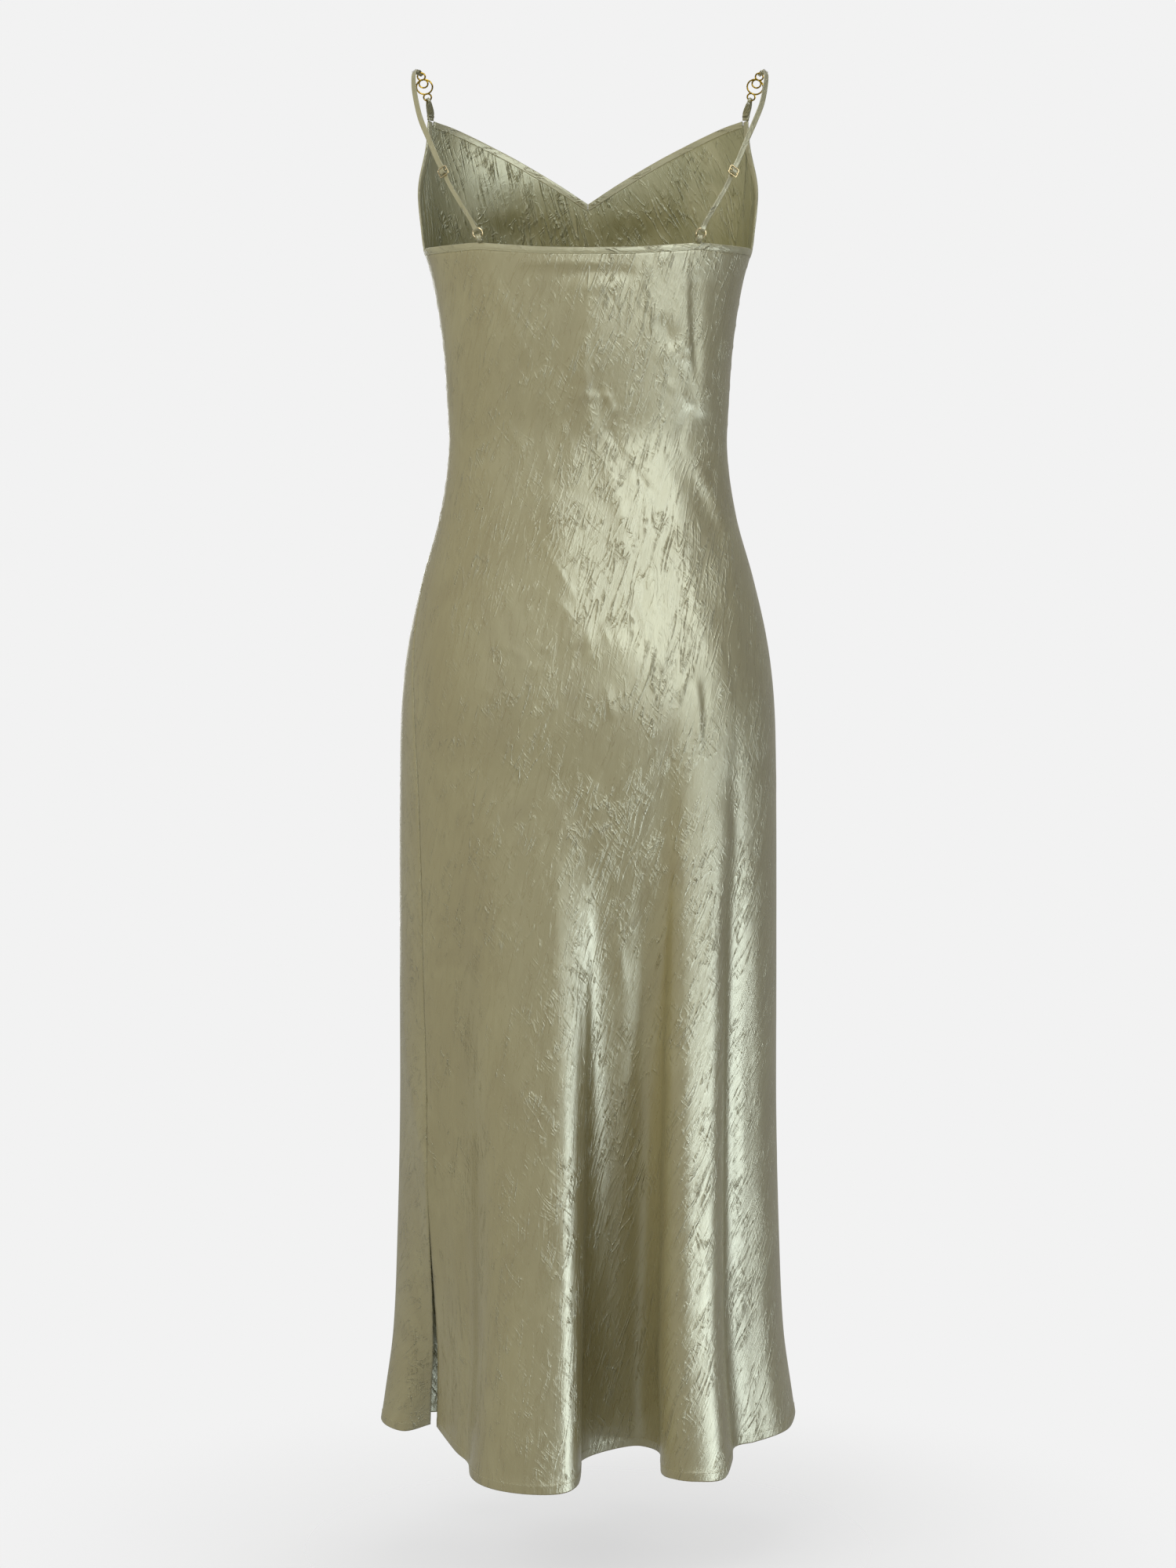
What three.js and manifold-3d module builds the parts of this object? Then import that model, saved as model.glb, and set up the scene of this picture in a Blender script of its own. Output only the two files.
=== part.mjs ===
// Slip dress with a V neck, a straight low back, thin adjustable straps and a side slit.
// It has the form that it takes when worn, hollow and open at neck, armholes, slit and hem.
// Millimetres. +Z is up, +Y is the front of the dress and +X is the wearer's right.
// The origin lies midway between the tops of the shoulder straps, where the shoulders hold them.
import * as THREE from "three";
import { mergeVertices } from "three/addons/utils/BufferGeometryUtils.js";
import Module from "manifold-3d";

const wasm = await Module();
wasm.setup();

// Driving sizes
const CLOTH = 1.5; // thickness of a panel
const GAP = 0.3; // space between pieces that meet
const SQUARENESS = 2.3; // 2 would make the body's rings ellipses, more makes them boxier
const HEM_DOWN = 1218; // level of the hem below the shoulders, before its waves drop
const WAVE_GROWTH = 1.25; // above 1 the hem's waves start softly under the hips
const SEAM_TURN = 216; // where the left side seam meets the hem, in degrees round the body
const SEAM_HALF_GAP = 0.12; // degrees left free on each side of a side seam

const BINDING = { height: 6.2, proud: 0.6 };
const BUST = { fullness: 9, across: 70, width: 42, down: 150, height: 55 };
const TAPE = { thick: 0.9, half: 2.6, thinHalf: 2, loopHalf: 1.3, tabHalf: 2.5, peakHalf: 3.4 };
const SLIDER = { half: 4.4, pitch: 4, wire: 0.6, corner: 1.4, fromRing: 66 };
const RING = { radius: 4.25, wire: 0.75, tab: 5 };
const LINK = { radius: 7.3, inner: 4, eyelet: 3.5, wire: 0.75 };
const WIRE_SIDES = 6;
// Places along a strap, counted from the wire that it turns round
const LOOP = { neck: 5, wide: 10, sewn: 15, ease: 8, far: 12 };
const BAR_GRIP = { outside: 0.5, inside: 0.8 }; // how far a strap lies flat on a slider's bar
const LAYER = TAPE.thick + GAP * 0.8; // from one layer of a doubled strap to the next
const MITRE_SLANT = 0.12; // extra drop of the mitre at the peak, as a share of the binding
const BODY_CENTRE = { across: 95, forward: 15, down: 95 }; // the straps face away from here

// Body of the dress, a row for each level: half its width, its depth to the front and to the
// back, and how far the side seams have turned with the bias cut (degrees ahead of +X, or
// behind -X).
const SECTIONS = [
  { down: 30, half: 160.5, front: 104, back: 92, leftSeam: 2, rightSeam: -2 },
  { down: 73, half: 161, front: 101, back: 92, leftSeam: 2, rightSeam: -2 },
  { down: 103, half: 158.5, front: 105, back: 92, leftSeam: 2, rightSeam: -2 },
  { down: 130, half: 153.7, front: 113, back: 92, leftSeam: 2, rightSeam: -2 },
  { down: 163, half: 148, front: 124, back: 92, leftSeam: 2, rightSeam: -2 },
  { down: 180, half: 143, front: 126, back: 92, leftSeam: 2, rightSeam: -2 },
  { down: 204, half: 137.7, front: 122, back: 90, leftSeam: 2, rightSeam: -2 },
  { down: 250, half: 131, front: 109, back: 86, leftSeam: 2.4, rightSeam: -1 },
  { down: 300, half: 127.4, front: 98, back: 80, leftSeam: 3, rightSeam: 0 },
  { down: 346, half: 126, front: 92, back: 76, leftSeam: 4, rightSeam: 2 },
  { down: 403, half: 134, front: 96, back: 84, leftSeam: 7, rightSeam: 5 },
  { down: 460, half: 149.5, front: 103, back: 102, leftSeam: 12, rightSeam: 11 },
  { down: 517, half: 162, front: 109, back: 118, leftSeam: 19, rightSeam: 18 },
  { down: 574, half: 168.3, front: 113, back: 126, leftSeam: 25.5, rightSeam: 25 },
  { down: 660, half: 170, front: 115, back: 124, leftSeam: 30.5, rightSeam: 30.5 },
  { down: 800, half: 170, front: 117, back: 119, leftSeam: 33.5, rightSeam: 33.5 },
  { down: 943, half: 169.7, front: 120, back: 116, leftSeam: 35.5, rightSeam: 35.5 },
  { down: 1056, half: 172, front: 123, back: 115, leftSeam: 36, rightSeam: 36 },
  { down: 1140, half: 175.5, front: 126, back: 115, leftSeam: 36, rightSeam: 36 },
  { down: 1198, half: 183, front: 128, back: 116, leftSeam: 36, rightSeam: 36 },
  { down: 1240, half: 189, front: 129, back: 116, leftSeam: 36, rightSeam: 36 },
];

// Waves of the hem, from the slit's back edge round the back, the right side and the front to
// the slit's front edge. turn is the place round the body, x and y the hem there, drop how much
// lower than HEM_DOWN it hangs, and from the level where its fold begins.
const HEM = [
  { turn: 216, x: -135, y: -35, drop: 0, from: 985 },
  { turn: 224, x: -116, y: -82, drop: 10, from: 860 },
  { turn: 232, x: -104, y: -103, drop: 15, from: 760 },
  { turn: 239, x: -100, y: -140, drop: 17, from: 660 },
  { turn: 244, x: -91, y: -163, drop: 18, from: 640 },
  { turn: 250, x: -73, y: -180, drop: 19, from: 640 },
  { turn: 257, x: -46, y: -188, drop: 20, from: 640 },
  { turn: 263, x: -21, y: -184, drop: 20, from: 640 },
  { turn: 267, x: -9, y: -170, drop: 17, from: 640 },
  { turn: 270, x: -6, y: -146, drop: 12, from: 640 },
  { turn: 273, x: -7, y: -106, drop: 14, from: 640 },
  { turn: 277, x: 6, y: -82, drop: 13, from: 640 },
  { turn: 283, x: 34, y: -67, drop: 10, from: 620 },
  { turn: 288, x: 50, y: -67, drop: 10, from: 600 },
  { turn: 292, x: 63, y: -88, drop: 11, from: 580 },
  { turn: 296, x: 63, y: -134, drop: 16, from: 560 },
  { turn: 300, x: 74, y: -154, drop: 16, from: 560 },
  { turn: 304.5, x: 92, y: -158, drop: 17, from: 560 },
  { turn: 309, x: 115, y: -146, drop: 18, from: 560 },
  { turn: 313, x: 124, y: -118, drop: 10, from: 560 },
  { turn: 317, x: 128, y: -78, drop: 8, from: 580 },
  { turn: 323, x: 147, y: -59, drop: 8, from: 620 },
  { turn: 333, x: 170, y: -38, drop: 6, from: 640 },
  { turn: 344, x: 182, y: -14, drop: 5, from: 660 },
  { turn: 360, x: 189, y: 20, drop: 0, from: 700 },
  { turn: 374, x: 187, y: 42, drop: 2, from: 700 },
  { turn: 384, x: 178, y: 66, drop: 4, from: 700 },
  { turn: 392, x: 169, y: 90, drop: 8, from: 680 },
  { turn: 399, x: 156, y: 107, drop: 12, from: 660 },
  { turn: 406, x: 138, y: 111, drop: 13, from: 640 },
  { turn: 412, x: 121, y: 102, drop: 10, from: 640 },
  { turn: 417, x: 110, y: 87, drop: 8, from: 640 },
  { turn: 422, x: 96, y: 83, drop: 8, from: 640 },
  { turn: 427, x: 84, y: 95, drop: 9, from: 640 },
  { turn: 431, x: 77, y: 120, drop: 12, from: 640 },
  { turn: 436, x: 64, y: 142, drop: 17, from: 640 },
  { turn: 441, x: 44, y: 152, drop: 20, from: 640 },
  { turn: 446, x: 23, y: 148, drop: 18, from: 640 },
  { turn: 450, x: 10, y: 132, drop: 14, from: 640 },
  { turn: 454, x: 0, y: 111, drop: 12, from: 640 },
  { turn: 459, x: -15, y: 99, drop: 11, from: 640 },
  { turn: 464, x: -34, y: 98, drop: 11, from: 640 },
  { turn: 469, x: -49, y: 110, drop: 12, from: 640 },
  { turn: 473, x: -57, y: 134, drop: 14, from: 640 },
  { turn: 478, x: -71, y: 153, drop: 18, from: 640 },
  { turn: 483, x: -92, y: 160, drop: 20, from: 640 },
  { turn: 488, x: -112, y: 151, drop: 20, from: 640 },
  { turn: 492, x: -125, y: 134, drop: 19, from: 640 },
  { turn: 497, x: -137, y: 113, drop: 17, from: 640 },
  { turn: 503, x: -146, y: 90, drop: 11, from: 640 },
  { turn: 508, x: -142, y: 66, drop: 8, from: 640 },
  { turn: 514, x: -137, y: 47, drop: 6, from: 660 },
  { turn: 522, x: -151, y: 36, drop: 4, from: 680 },
  { turn: 532, x: -176, y: 33, drop: 2, from: 720 },
  { turn: 542, x: -188, y: 18, drop: 3, from: 760 },
  { turn: 552, x: -183, y: 0, drop: 7, from: 820 },
  { turn: 563, x: -165, y: -15, drop: 9, from: 900 },
  { turn: 576, x: -142, y: -10, drop: 4, from: 985 },
];
const RIGHT_SEAM_TURN = 396;
const FULL_TURN = 360;

// Edge of the garment at an armhole, from the side seam to the peak, on the wearer's right
const ARMHOLE_EDGE = [
  { down: 32, forward: 48 },
  { down: 55, forward: 45.5 },
  { down: 73, forward: 40 },
  { down: 99, forward: 28 },
  { down: 111, forward: 23 },
  { down: 130, forward: 15 },
  { down: 150, forward: 6 },
  { down: 163.5, forward: -5 },
];
// Edge of the V neck, from its point out to the peak
const NECK_EDGE = [
  { across: 0, down: 97 },
  { across: 31, down: 77.5 },
  { across: 67, down: 57.5 },
  { across: 94, down: 45 },
  { across: 113, down: 37.5 },
  { across: 128, down: 33 },
  { across: 143, down: 31 },
];
// Edge of the low back, from the middle to the side seam
const BACK_EDGE = [
  { across: 0, down: 177 },
  { across: 40, down: 176 },
  { across: 80, down: 172 },
  { across: 98, down: 169.5 },
  { across: 120, down: 168.5 },
  { across: 137, down: 166.5 },
  { across: 148, down: 163.5 },
];
// Middle line of a strap from its link over the shoulder to the ring. The two sides of the worn
// dress differ a little at the top.
const STRAP_ROUTE = [
  { left: 156.4, right: 160, forward: 2, down: -1.4 },
  { left: 157.4, right: 161, forward: -6, down: 4 },
  { left: 157, right: 160, forward: -13, down: 14.5 },
  { left: 153.3, right: 155.5, forward: -29, down: 36 },
  { left: 148.7, right: 149, forward: -39, down: 53.6 },
  { left: 141.5, right: 141.5, forward: -48, down: 71.6 },
  { left: 134, right: 134, forward: -54, down: 90.2 },
  { left: 122.8, right: 123.5, forward: -63, down: 115 },
  { left: 111.8, right: 113, forward: -71, down: 135 },
  { left: 98.6, right: 100.5, forward: -80, down: 158 },
];
const STRAP_SEAT = { left: 94, right: 96.5 }; // where the ring's tab meets the back neck binding
// Middle line of a link and the short strap in front of it, down to the peak
const LINK_TOP = { left: 151.8, right: 156, forward: 13.5, down: 0.6 };
const LINK_FOOT = { left: 147, right: 149.4, forward: 27.4, down: 15.6 };
const PEAK_ROUTE = [
  { left: 146, right: 147.6, forward: 38.5, down: 21.5 },
  { left: 145.4, right: 146.2, forward: 48.6, down: 26 },
];

// Mesh fineness
const PANEL_COLUMNS = 48;
const ARMHOLE_STEPS = 8;
const NECK_STEPS = 13;
const TOP_ROWS = { front: 5, back: 1 };
const ROWS = { start: 196, bodyStep: 30, hips: 560, skirtStep: 74, end: 1170 };
const PROBE = { turn: 0.05, down: 0.5 }; // small steps that measure a slope

// Smooth value of one column of a table at a place between its rows, which rise by `key`
function read(table, key, column, place) {
  const last = table.length - 1;
  const at = THREE.MathUtils.clamp(place, table[0][key], table[last][key]);
  let low = 0;
  while (low < last - 1 && at > table[low + 1][key]) {
    low += 1;
  }
  const slope = (a, b) => (table[b][column] - table[a][column]) / (table[b][key] - table[a][key]);
  const width = table[low + 1][key] - table[low][key];
  const t = (at - table[low][key]) / width;
  const leave = slope(Math.max(low - 1, 0), low + 1) * width;
  const arrive = slope(low, Math.min(low + 2, last)) * width;
  const start = table[low][column];
  const end = table[low + 1][column];
  const bend = leave * (t - 1) + arrive * t;
  const blend = t * t * (3 - 2 * t);
  return start + (end - start) * blend + t * (t - 1) * bend;
}

const radians = THREE.MathUtils.degToRad;
const signedPower = (value, power) => Math.sign(value) * Math.abs(value) ** power;

function bustFullness(across, down) {
  const sideways = (Math.abs(across) - BUST.across) / BUST.width;
  const upright = (down - BUST.down) / BUST.height;
  return BUST.fullness * Math.exp(-sideways * sideways - upright * upright);
}

// Point of the plain body at an angle round it, with 0 at the wearer's right and 90 in front
function bodyPoint(angle, down) {
  const cos = Math.cos(radians(angle));
  const sin = Math.sin(radians(angle));
  const half = read(SECTIONS, "down", "half", down);
  const depth = read(SECTIONS, "down", sin > 0 ? "front" : "back", down);
  const x = half * signedPower(cos, 2 / SQUARENESS);
  const fullness = sin > 0 ? bustFullness(x, down) * sin : 0;
  return new THREE.Vector3(x, depth * signedPower(sin, 2 / SQUARENESS) + fullness, -down);
}

// Angle round the body of a point on its right half, found from how far across it lies
function angleAcross(across, down, front) {
  const half = read(SECTIONS, "down", "half", down);
  const cos = THREE.MathUtils.clamp(across / half, 0, 1) ** (SQUARENESS / 2);
  const angle = THREE.MathUtils.radToDeg(Math.acos(cos));
  return front ? angle : FULL_TURN - angle;
}

// Angle of a point near the side, found from how far forward it lies
function angleForward(forward, down) {
  let angle = 0;
  for (let step = 0; step < 40; step += 1) {
    const missing = forward - bodyPoint(angle, down).y;
    angle += missing * 0.3;
  }
  return angle;
}

// How far the cut has turned the cloth at a place named by its turn at the hem
function biasShift(turn, down) {
  const cos = Math.cos(radians(turn - SEAM_TURN));
  const seam = read(SECTIONS, "down", cos > 0 ? "leftSeam" : "rightSeam", down);
  return (SEAM_TURN - FULL_TURN / 2 - seam) * cos * cos;
}

function turnOf(angle, down) {
  let turn = angle;
  for (let step = 0; step < 60; step += 1) {
    turn = angle + biasShift(turn, down);
  }
  return turn;
}

const hemDown = (turn) => HEM_DOWN + read(HEM, "turn", "drop", turn);

// Point of the cloth's outer face, with the waves that grow from the hips to the hem
function clothPoint(turn, down) {
  const point = bodyPoint(turn - biasShift(turn, down), down);
  const from = read(HEM, "turn", "from", turn);
  const foot = hemDown(turn);
  const share = THREE.MathUtils.clamp((down - from) / (foot - from), 0, 1) ** WAVE_GROWTH;
  const plain = bodyPoint(turn, foot);
  point.x += share * (read(HEM, "turn", "x", turn) - plain.x);
  point.y += share * (read(HEM, "turn", "y", turn) - plain.y);
  return point;
}

function clothNormal(turn, down) {
  const first = HEM[0].turn;
  const last = HEM[HEM.length - 1].turn;
  const back = clothPoint(Math.max(turn - PROBE.turn, first), down);
  const round = clothPoint(Math.min(turn + PROBE.turn, last), down).sub(back);
  const fall = clothPoint(turn, down + PROBE.down).sub(clothPoint(turn, down - PROBE.down));
  return fall.cross(round).normalize();
}

// Closed solid from a list of vertices and triangles, with its faces turned outwards
function solidOf(points, faces) {
  let volume = 0;
  const part = new THREE.Vector3();
  faces.forEach(([a, b, c]) => {
    volume += part.crossVectors(points[b], points[c]).dot(points[a]);
  });
  const outward = volume > 0 ? faces : faces.map(([a, b, c]) => [a, c, b]);
  const geometry = new THREE.BufferGeometry().setFromPoints(points);
  geometry.setIndex(outward.flat());
  geometry.computeVertexNormals();
  return geometry;
}

// Wall between two equal grids of points, closed along its four borders
function wall(outer, inner) {
  const columns = outer.length;
  const rows = outer[0].length;
  const points = [...outer.flat(), ...inner.flat()];
  const out = (column, row) => column * rows + row;
  const into = (column, row) => columns * rows + column * rows + row;
  const faces = [];
  const quad = (a, b, c, d) => faces.push([a, b, c], [a, c, d]);
  for (let column = 0; column < columns - 1; column += 1) {
    for (let row = 0; row < rows - 1; row += 1) {
      quad(out(column, row), out(column + 1, row), out(column + 1, row + 1), out(column, row + 1));
      quad(into(column, row), into(column, row + 1), into(column + 1, row + 1), into(column + 1, row));
    }
    quad(out(column, 0), into(column, 0), into(column + 1, 0), out(column + 1, 0));
    const end = rows - 1;
    quad(out(column, end), out(column + 1, end), into(column + 1, end), into(column, end));
  }
  for (let row = 0; row < rows - 1; row += 1) {
    quad(out(0, row), out(0, row + 1), into(0, row + 1), into(0, row));
    const end = columns - 1;
    quad(out(end, row), into(end, row), into(end, row + 1), out(end, row + 1));
  }
  return solidOf(points, faces);
}

// Bar through a row of like cross-sections, closed at both ends, or joined end to end
function loft(sections, joined = false) {
  const sides = sections[0].length;
  const points = sections.flat();
  const faces = [];
  const spans = joined ? sections.length : sections.length - 1;
  for (let span = 0; span < spans; span += 1) {
    const here = span * sides;
    const next = ((span + 1) % sections.length) * sides;
    for (let side = 0; side < sides; side += 1) {
      const other = (side + 1) % sides;
      faces.push([here + side, next + side, next + other], [here + side, next + other, here + other]);
    }
  }
  if (!joined) {
    const last = (sections.length - 1) * sides;
    for (let side = 1; side < sides - 1; side += 1) {
      faces.push([0, side, side + 1], [last, last + side + 1, last + side]);
    }
  }
  return solidOf(points, faces);
}

function toManifold(geometry) {
  const bare = geometry.index ? geometry.toNonIndexed() : geometry.clone();
  bare.deleteAttribute("normal");
  bare.deleteAttribute("uv");
  const merged = mergeVertices(bare, 1e-4);
  const mesh = new wasm.Mesh({
    numProp: 3,
    vertProperties: merged.attributes.position.array,
    triVerts: new Uint32Array(merged.index.array),
  });
  return new wasm.Manifold(mesh);
}

function join(geometries) {
  const whole = geometries.map(toManifold).reduce((sum, next) => sum.add(next));
  const mesh = whole.getMesh();
  const geometry = new THREE.BufferGeometry();
  geometry.setAttribute("position", new THREE.BufferAttribute(mesh.vertProperties, 3));
  geometry.setIndex(new THREE.BufferAttribute(mesh.triVerts, 1));
  geometry.computeVertexNormals();
  return geometry;
}

const satin = new THREE.MeshStandardMaterial({ color: "#8f8a68", roughness: 0.4, metalness: 0.2 });
const satinStrip = new THREE.MeshStandardMaterial({ color: "#9a9473", roughness: 0.45 });
const gold = new THREE.MeshStandardMaterial({ color: "#c08a2e", roughness: 0.25, metalness: 1 });
const paleGold = new THREE.MeshStandardMaterial({ color: "#d8c79a", roughness: 0.25, metalness: 1 });

const dress = new THREE.Group();

function addPiece(name, geometry, material) {
  const mesh = new THREE.Mesh(geometry, material);
  mesh.name = name;
  dress.add(mesh);
  return mesh;
}

// A place on the cloth is { angle, down }. The left side of the dress mirrors the right one.
const mirrored = (place) => ({ angle: FULL_TURN / 2 - place.angle, down: place.down });
const pointAt = (place) => bodyPoint(place.angle, place.down);
const normalAt = (place) => {
  const back = bodyPoint(place.angle - PROBE.turn, place.down);
  const round = bodyPoint(place.angle + PROBE.turn, place.down).sub(back);
  const lower = bodyPoint(place.angle, place.down + PROBE.down);
  const fall = lower.sub(bodyPoint(place.angle, place.down - PROBE.down));
  return fall.cross(round).normalize();
};

// Place that lies a few millimetres from another one, along the cloth
function shifted(place, offset) {
  const round = bodyPoint(place.angle + PROBE.turn, place.down).sub(pointAt(place));
  const fall = bodyPoint(place.angle, place.down + PROBE.down).sub(pointAt(place));
  round.divideScalar(PROBE.turn);
  fall.divideScalar(PROBE.down);
  const rr = round.dot(round);
  const ff = fall.dot(fall);
  const rf = round.dot(fall);
  const ro = round.dot(offset);
  const fo = fall.dot(offset);
  const scale = rr * ff - rf * rf;
  const angle = place.angle + (ro * ff - fo * rf) / scale;
  return { angle, down: place.down + (fo * rr - ro * rf) / scale };
}

// Direction along an edge at one of its places, and the one that leads into the cloth
function edgeFrame(edge, index, inwards) {
  const before = pointAt(edge[Math.max(index - 1, 0)]);
  const along = pointAt(edge[Math.min(index + 1, edge.length - 1)]).sub(before).normalize();
  const into = normalAt(edge[index]).cross(along).normalize().multiplyScalar(inwards);
  return { along, into };
}

function insetEdge(edge, distance, inwards) {
  return edge.map((place, index) => {
    const { into } = edgeFrame(edge, index, inwards);
    return shifted(place, into.multiplyScalar(distance));
  });
}

// Edges of the right half, as places on the cloth
const armholeEdge = [];
for (let step = 0; step <= ARMHOLE_STEPS; step += 1) {
  const lowest = ARMHOLE_EDGE[ARMHOLE_EDGE.length - 1].down;
  const down = lowest + ((ARMHOLE_EDGE[0].down - lowest) * step) / ARMHOLE_STEPS;
  const forward = read(ARMHOLE_EDGE, "down", "forward", down);
  armholeEdge.push({ angle: angleForward(forward, down), down });
}
const armholeInner = insetEdge(armholeEdge, BINDING.height, -1);
const armholePanel = insetEdge(armholeEdge, BINDING.height + GAP, -1);

const peak = armholePanel[ARMHOLE_STEPS]; // where the V neck's strip starts, beside the armhole's
const peakAcross = pointAt(peak).x;
const neckEdge = [];
for (let step = 0; step <= NECK_STEPS; step += 1) {
  const across = GAP / 2 + (peakAcross - GAP / 2) * (1 - step / NECK_STEPS);
  const down = read(NECK_EDGE, "across", "down", across);
  neckEdge.push({ angle: angleAcross(across, down, true), down });
}
neckEdge[0] = peak;
const neckInner = insetEdge(neckEdge, BINDING.height, -1);
const neckPanel = insetEdge(neckEdge, BINDING.height + GAP, -1);

// Both ends of the neck strip are mitred: one against the armhole's strip, one at the V's point
const peakSlope = (neckEdge[1].down - peak.down) / pointAt(peak).distanceTo(pointAt(neckEdge[1]));
const mitreDrop = BINDING.height * (Math.hypot(1, peakSlope) + MITRE_SLANT);
const alongPeak = (down) => {
  const lower = armholePanel[ARMHOLE_STEPS - 1];
  const t = (down - peak.down) / (lower.down - peak.down);
  return { angle: THREE.MathUtils.lerp(peak.angle, lower.angle, t), down };
};
neckInner[0] = alongPeak(peak.down + mitreDrop);
neckPanel[0] = alongPeak(peak.down + mitreDrop + GAP);
const neckPoint = neckEdge[NECK_STEPS];
const beforePoint = neckEdge[NECK_STEPS - 1];
const pointRun = pointAt(beforePoint).x - pointAt(neckPoint).x;
const pointSlope = Math.hypot(1, (neckPoint.down - beforePoint.down) / pointRun);
neckInner[NECK_STEPS] = {
  angle: neckPoint.angle,
  down: neckPoint.down + BINDING.height * pointSlope,
};
const pointDown = neckPoint.down + (BINDING.height + GAP) * pointSlope;

// Strip of binding between an edge of the garment and its inner line
function bindingStrip(edge, inner) {
  const sections = edge.map((place, index) => {
    const low = inner[index];
    const highOut = normalAt(place);
    const lowOut = normalAt(low);
    const under = -(CLOTH + BINDING.proud);
    return [
      pointAt(place).addScaledVector(highOut, BINDING.proud),
      pointAt(low).addScaledVector(lowOut, BINDING.proud),
      pointAt(low).addScaledVector(lowOut, under),
      pointAt(place).addScaledVector(highOut, under),
    ];
  });
  return loft(sections);
}

// Levels of the rows of a panel below its top edge
const levels = [];
for (let down = ROWS.start; down < ROWS.hips; down += ROWS.bodyStep) {
  levels.push(down);
}
for (let down = ROWS.hips; down < ROWS.end; down += ROWS.skirtStep) {
  levels.push(down);
}
levels.push(ROWS.end);

// Panel from its columns, each a turn at the hem and the level of the top edge there
function panel(columns, topRows) {
  const outer = [];
  const inner = [];
  columns.forEach(({ turn, top }) => {
    const downs = [];
    for (let row = 0; row < topRows; row += 1) {
      downs.push(top + ((ROWS.start - top) * row) / topRows);
    }
    downs.push(...levels, hemDown(turn));
    const face = downs.map((down) => clothPoint(turn, down));
    outer.push(face);
    inner.push(face.map((at, row) => {
      return at.clone().addScaledVector(clothNormal(turn, downs[row]), -CLOTH);
    }));
  });
  return wall(outer, inner);
}

// Turns that divide a stretch of the hem into equal lengths
function evenTurns(first, last, count) {
  const fine = 1000;
  const lengths = [0];
  const hemAt = (index) => {
    const turn = THREE.MathUtils.lerp(first, last, index / fine);
    return clothPoint(turn, hemDown(turn));
  };
  for (let index = 1; index <= fine; index += 1) {
    lengths.push(lengths[index - 1] + hemAt(index).distanceTo(hemAt(index - 1)));
  }
  const turns = [];
  let at = 0;
  for (let index = 0; index <= count; index += 1) {
    while (at < fine && lengths[at] < (lengths[fine] * index) / count) {
      at += 1;
    }
    turns.push(THREE.MathUtils.lerp(first, last, at / fine));
  }
  return turns;
}

// Back panel and the binding on its top edge
const backEdge = evenTurns(
  SEAM_TURN + SEAM_HALF_GAP,
  RIGHT_SEAM_TURN - SEAM_HALF_GAP,
  PANEL_COLUMNS,
).map((turn) => {
  let down = BACK_EDGE[0].down;
  let angle = 0;
  for (let step = 0; step < 4; step += 1) {
    angle = turn - biasShift(turn, down);
    down = read(BACK_EDGE, "across", "down", Math.abs(bodyPoint(angle, down).x));
  }
  return { turn, angle, down };
});
const belowBack = (distance) => backEdge.map(({ turn, angle, down }) => {
  return { turn, angle, down: down + distance };
});
addPiece(
  "back_neck_binding",
  bindingStrip(backEdge, belowBack(BINDING.height)),
  satinStrip,
);
const backColumns = belowBack(BINDING.height + GAP).map(({ turn, down }) => ({ turn, top: down }));
addPiece("back_panel", panel(backColumns, TOP_ROWS.back), satin);

// Front panel, whose columns end at the inner lines of its four strips
const seamCorner = (() => {
  const { along } = edgeFrame(armholeEdge, 0, -1);
  return shifted(armholeEdge[0], along.clone().multiplyScalar(-GAP));
})();
const seamInner = (() => {
  const { along } = edgeFrame(armholeEdge, 0, -1);
  return shifted(armholePanel[0], along.clone().multiplyScalar(-GAP));
})();
const rightTop = [seamInner, ...armholePanel.slice(1, ARMHOLE_STEPS), ...neckPanel.slice(0, -1)];
const frontTop = [
  ...rightTop,
  { angle: FULL_TURN / 4, down: pointDown },
  ...rightTop.map(mirrored).reverse(),
];
const rightSeamTurn = RIGHT_SEAM_TURN + SEAM_HALF_GAP;
const leftSeamTurn = SEAM_TURN + FULL_TURN - SEAM_HALF_GAP;
const frontColumns = [
  { turn: rightSeamTurn, top: seamCorner.down },
  ...frontTop.map(({ angle, down }) => {
    return { turn: turnOf(angle + FULL_TURN, down), top: down };
  }),
  { turn: leftSeamTurn, top: seamCorner.down },
];
addPiece("front_panel", panel(frontColumns, TOP_ROWS.front), satin);

// Strips of the right half, and their mirror images
[
  { side: "right", place: (edge) => edge },
  { side: "left", place: (edge) => edge.map(mirrored) },
].forEach(({ side, place }) => {
  const armhole = bindingStrip(place(armholeEdge), place(armholeInner));
  addPiece("armhole_binding_" + side, armhole, satinStrip);
  const neck = bindingStrip(place(neckEdge), place(neckInner));
  addPiece("neck_binding_" + side, neck, satinStrip);
});

// Curve of a strap, with the directions along it, across it and away from the body
function strapCurve(rows, side) {
  const sign = side === "left" ? -1 : 1;
  const curve = new THREE.CatmullRomCurve3(rows, false, "centripetal");
  const centre = new THREE.Vector3(
    sign * BODY_CENTRE.across,
    BODY_CENTRE.forward,
    -BODY_CENTRE.down,
  );
  curve.arcLengthDivisions = 400;
  const length = curve.getLength();
  const frame = (distance) => {
    const share = THREE.MathUtils.clamp(distance / length, 0, 1);
    const at = curve.getPointAt(share);
    const along = curve.getTangentAt(share);
    at.addScaledVector(along, distance - share * length);
    const out = at.clone().sub(centre);
    out.addScaledVector(along, -out.dot(along)).normalize();
    return { at, along, out, across: along.clone().cross(out) };
  };
  return { length, frame };
}

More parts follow.
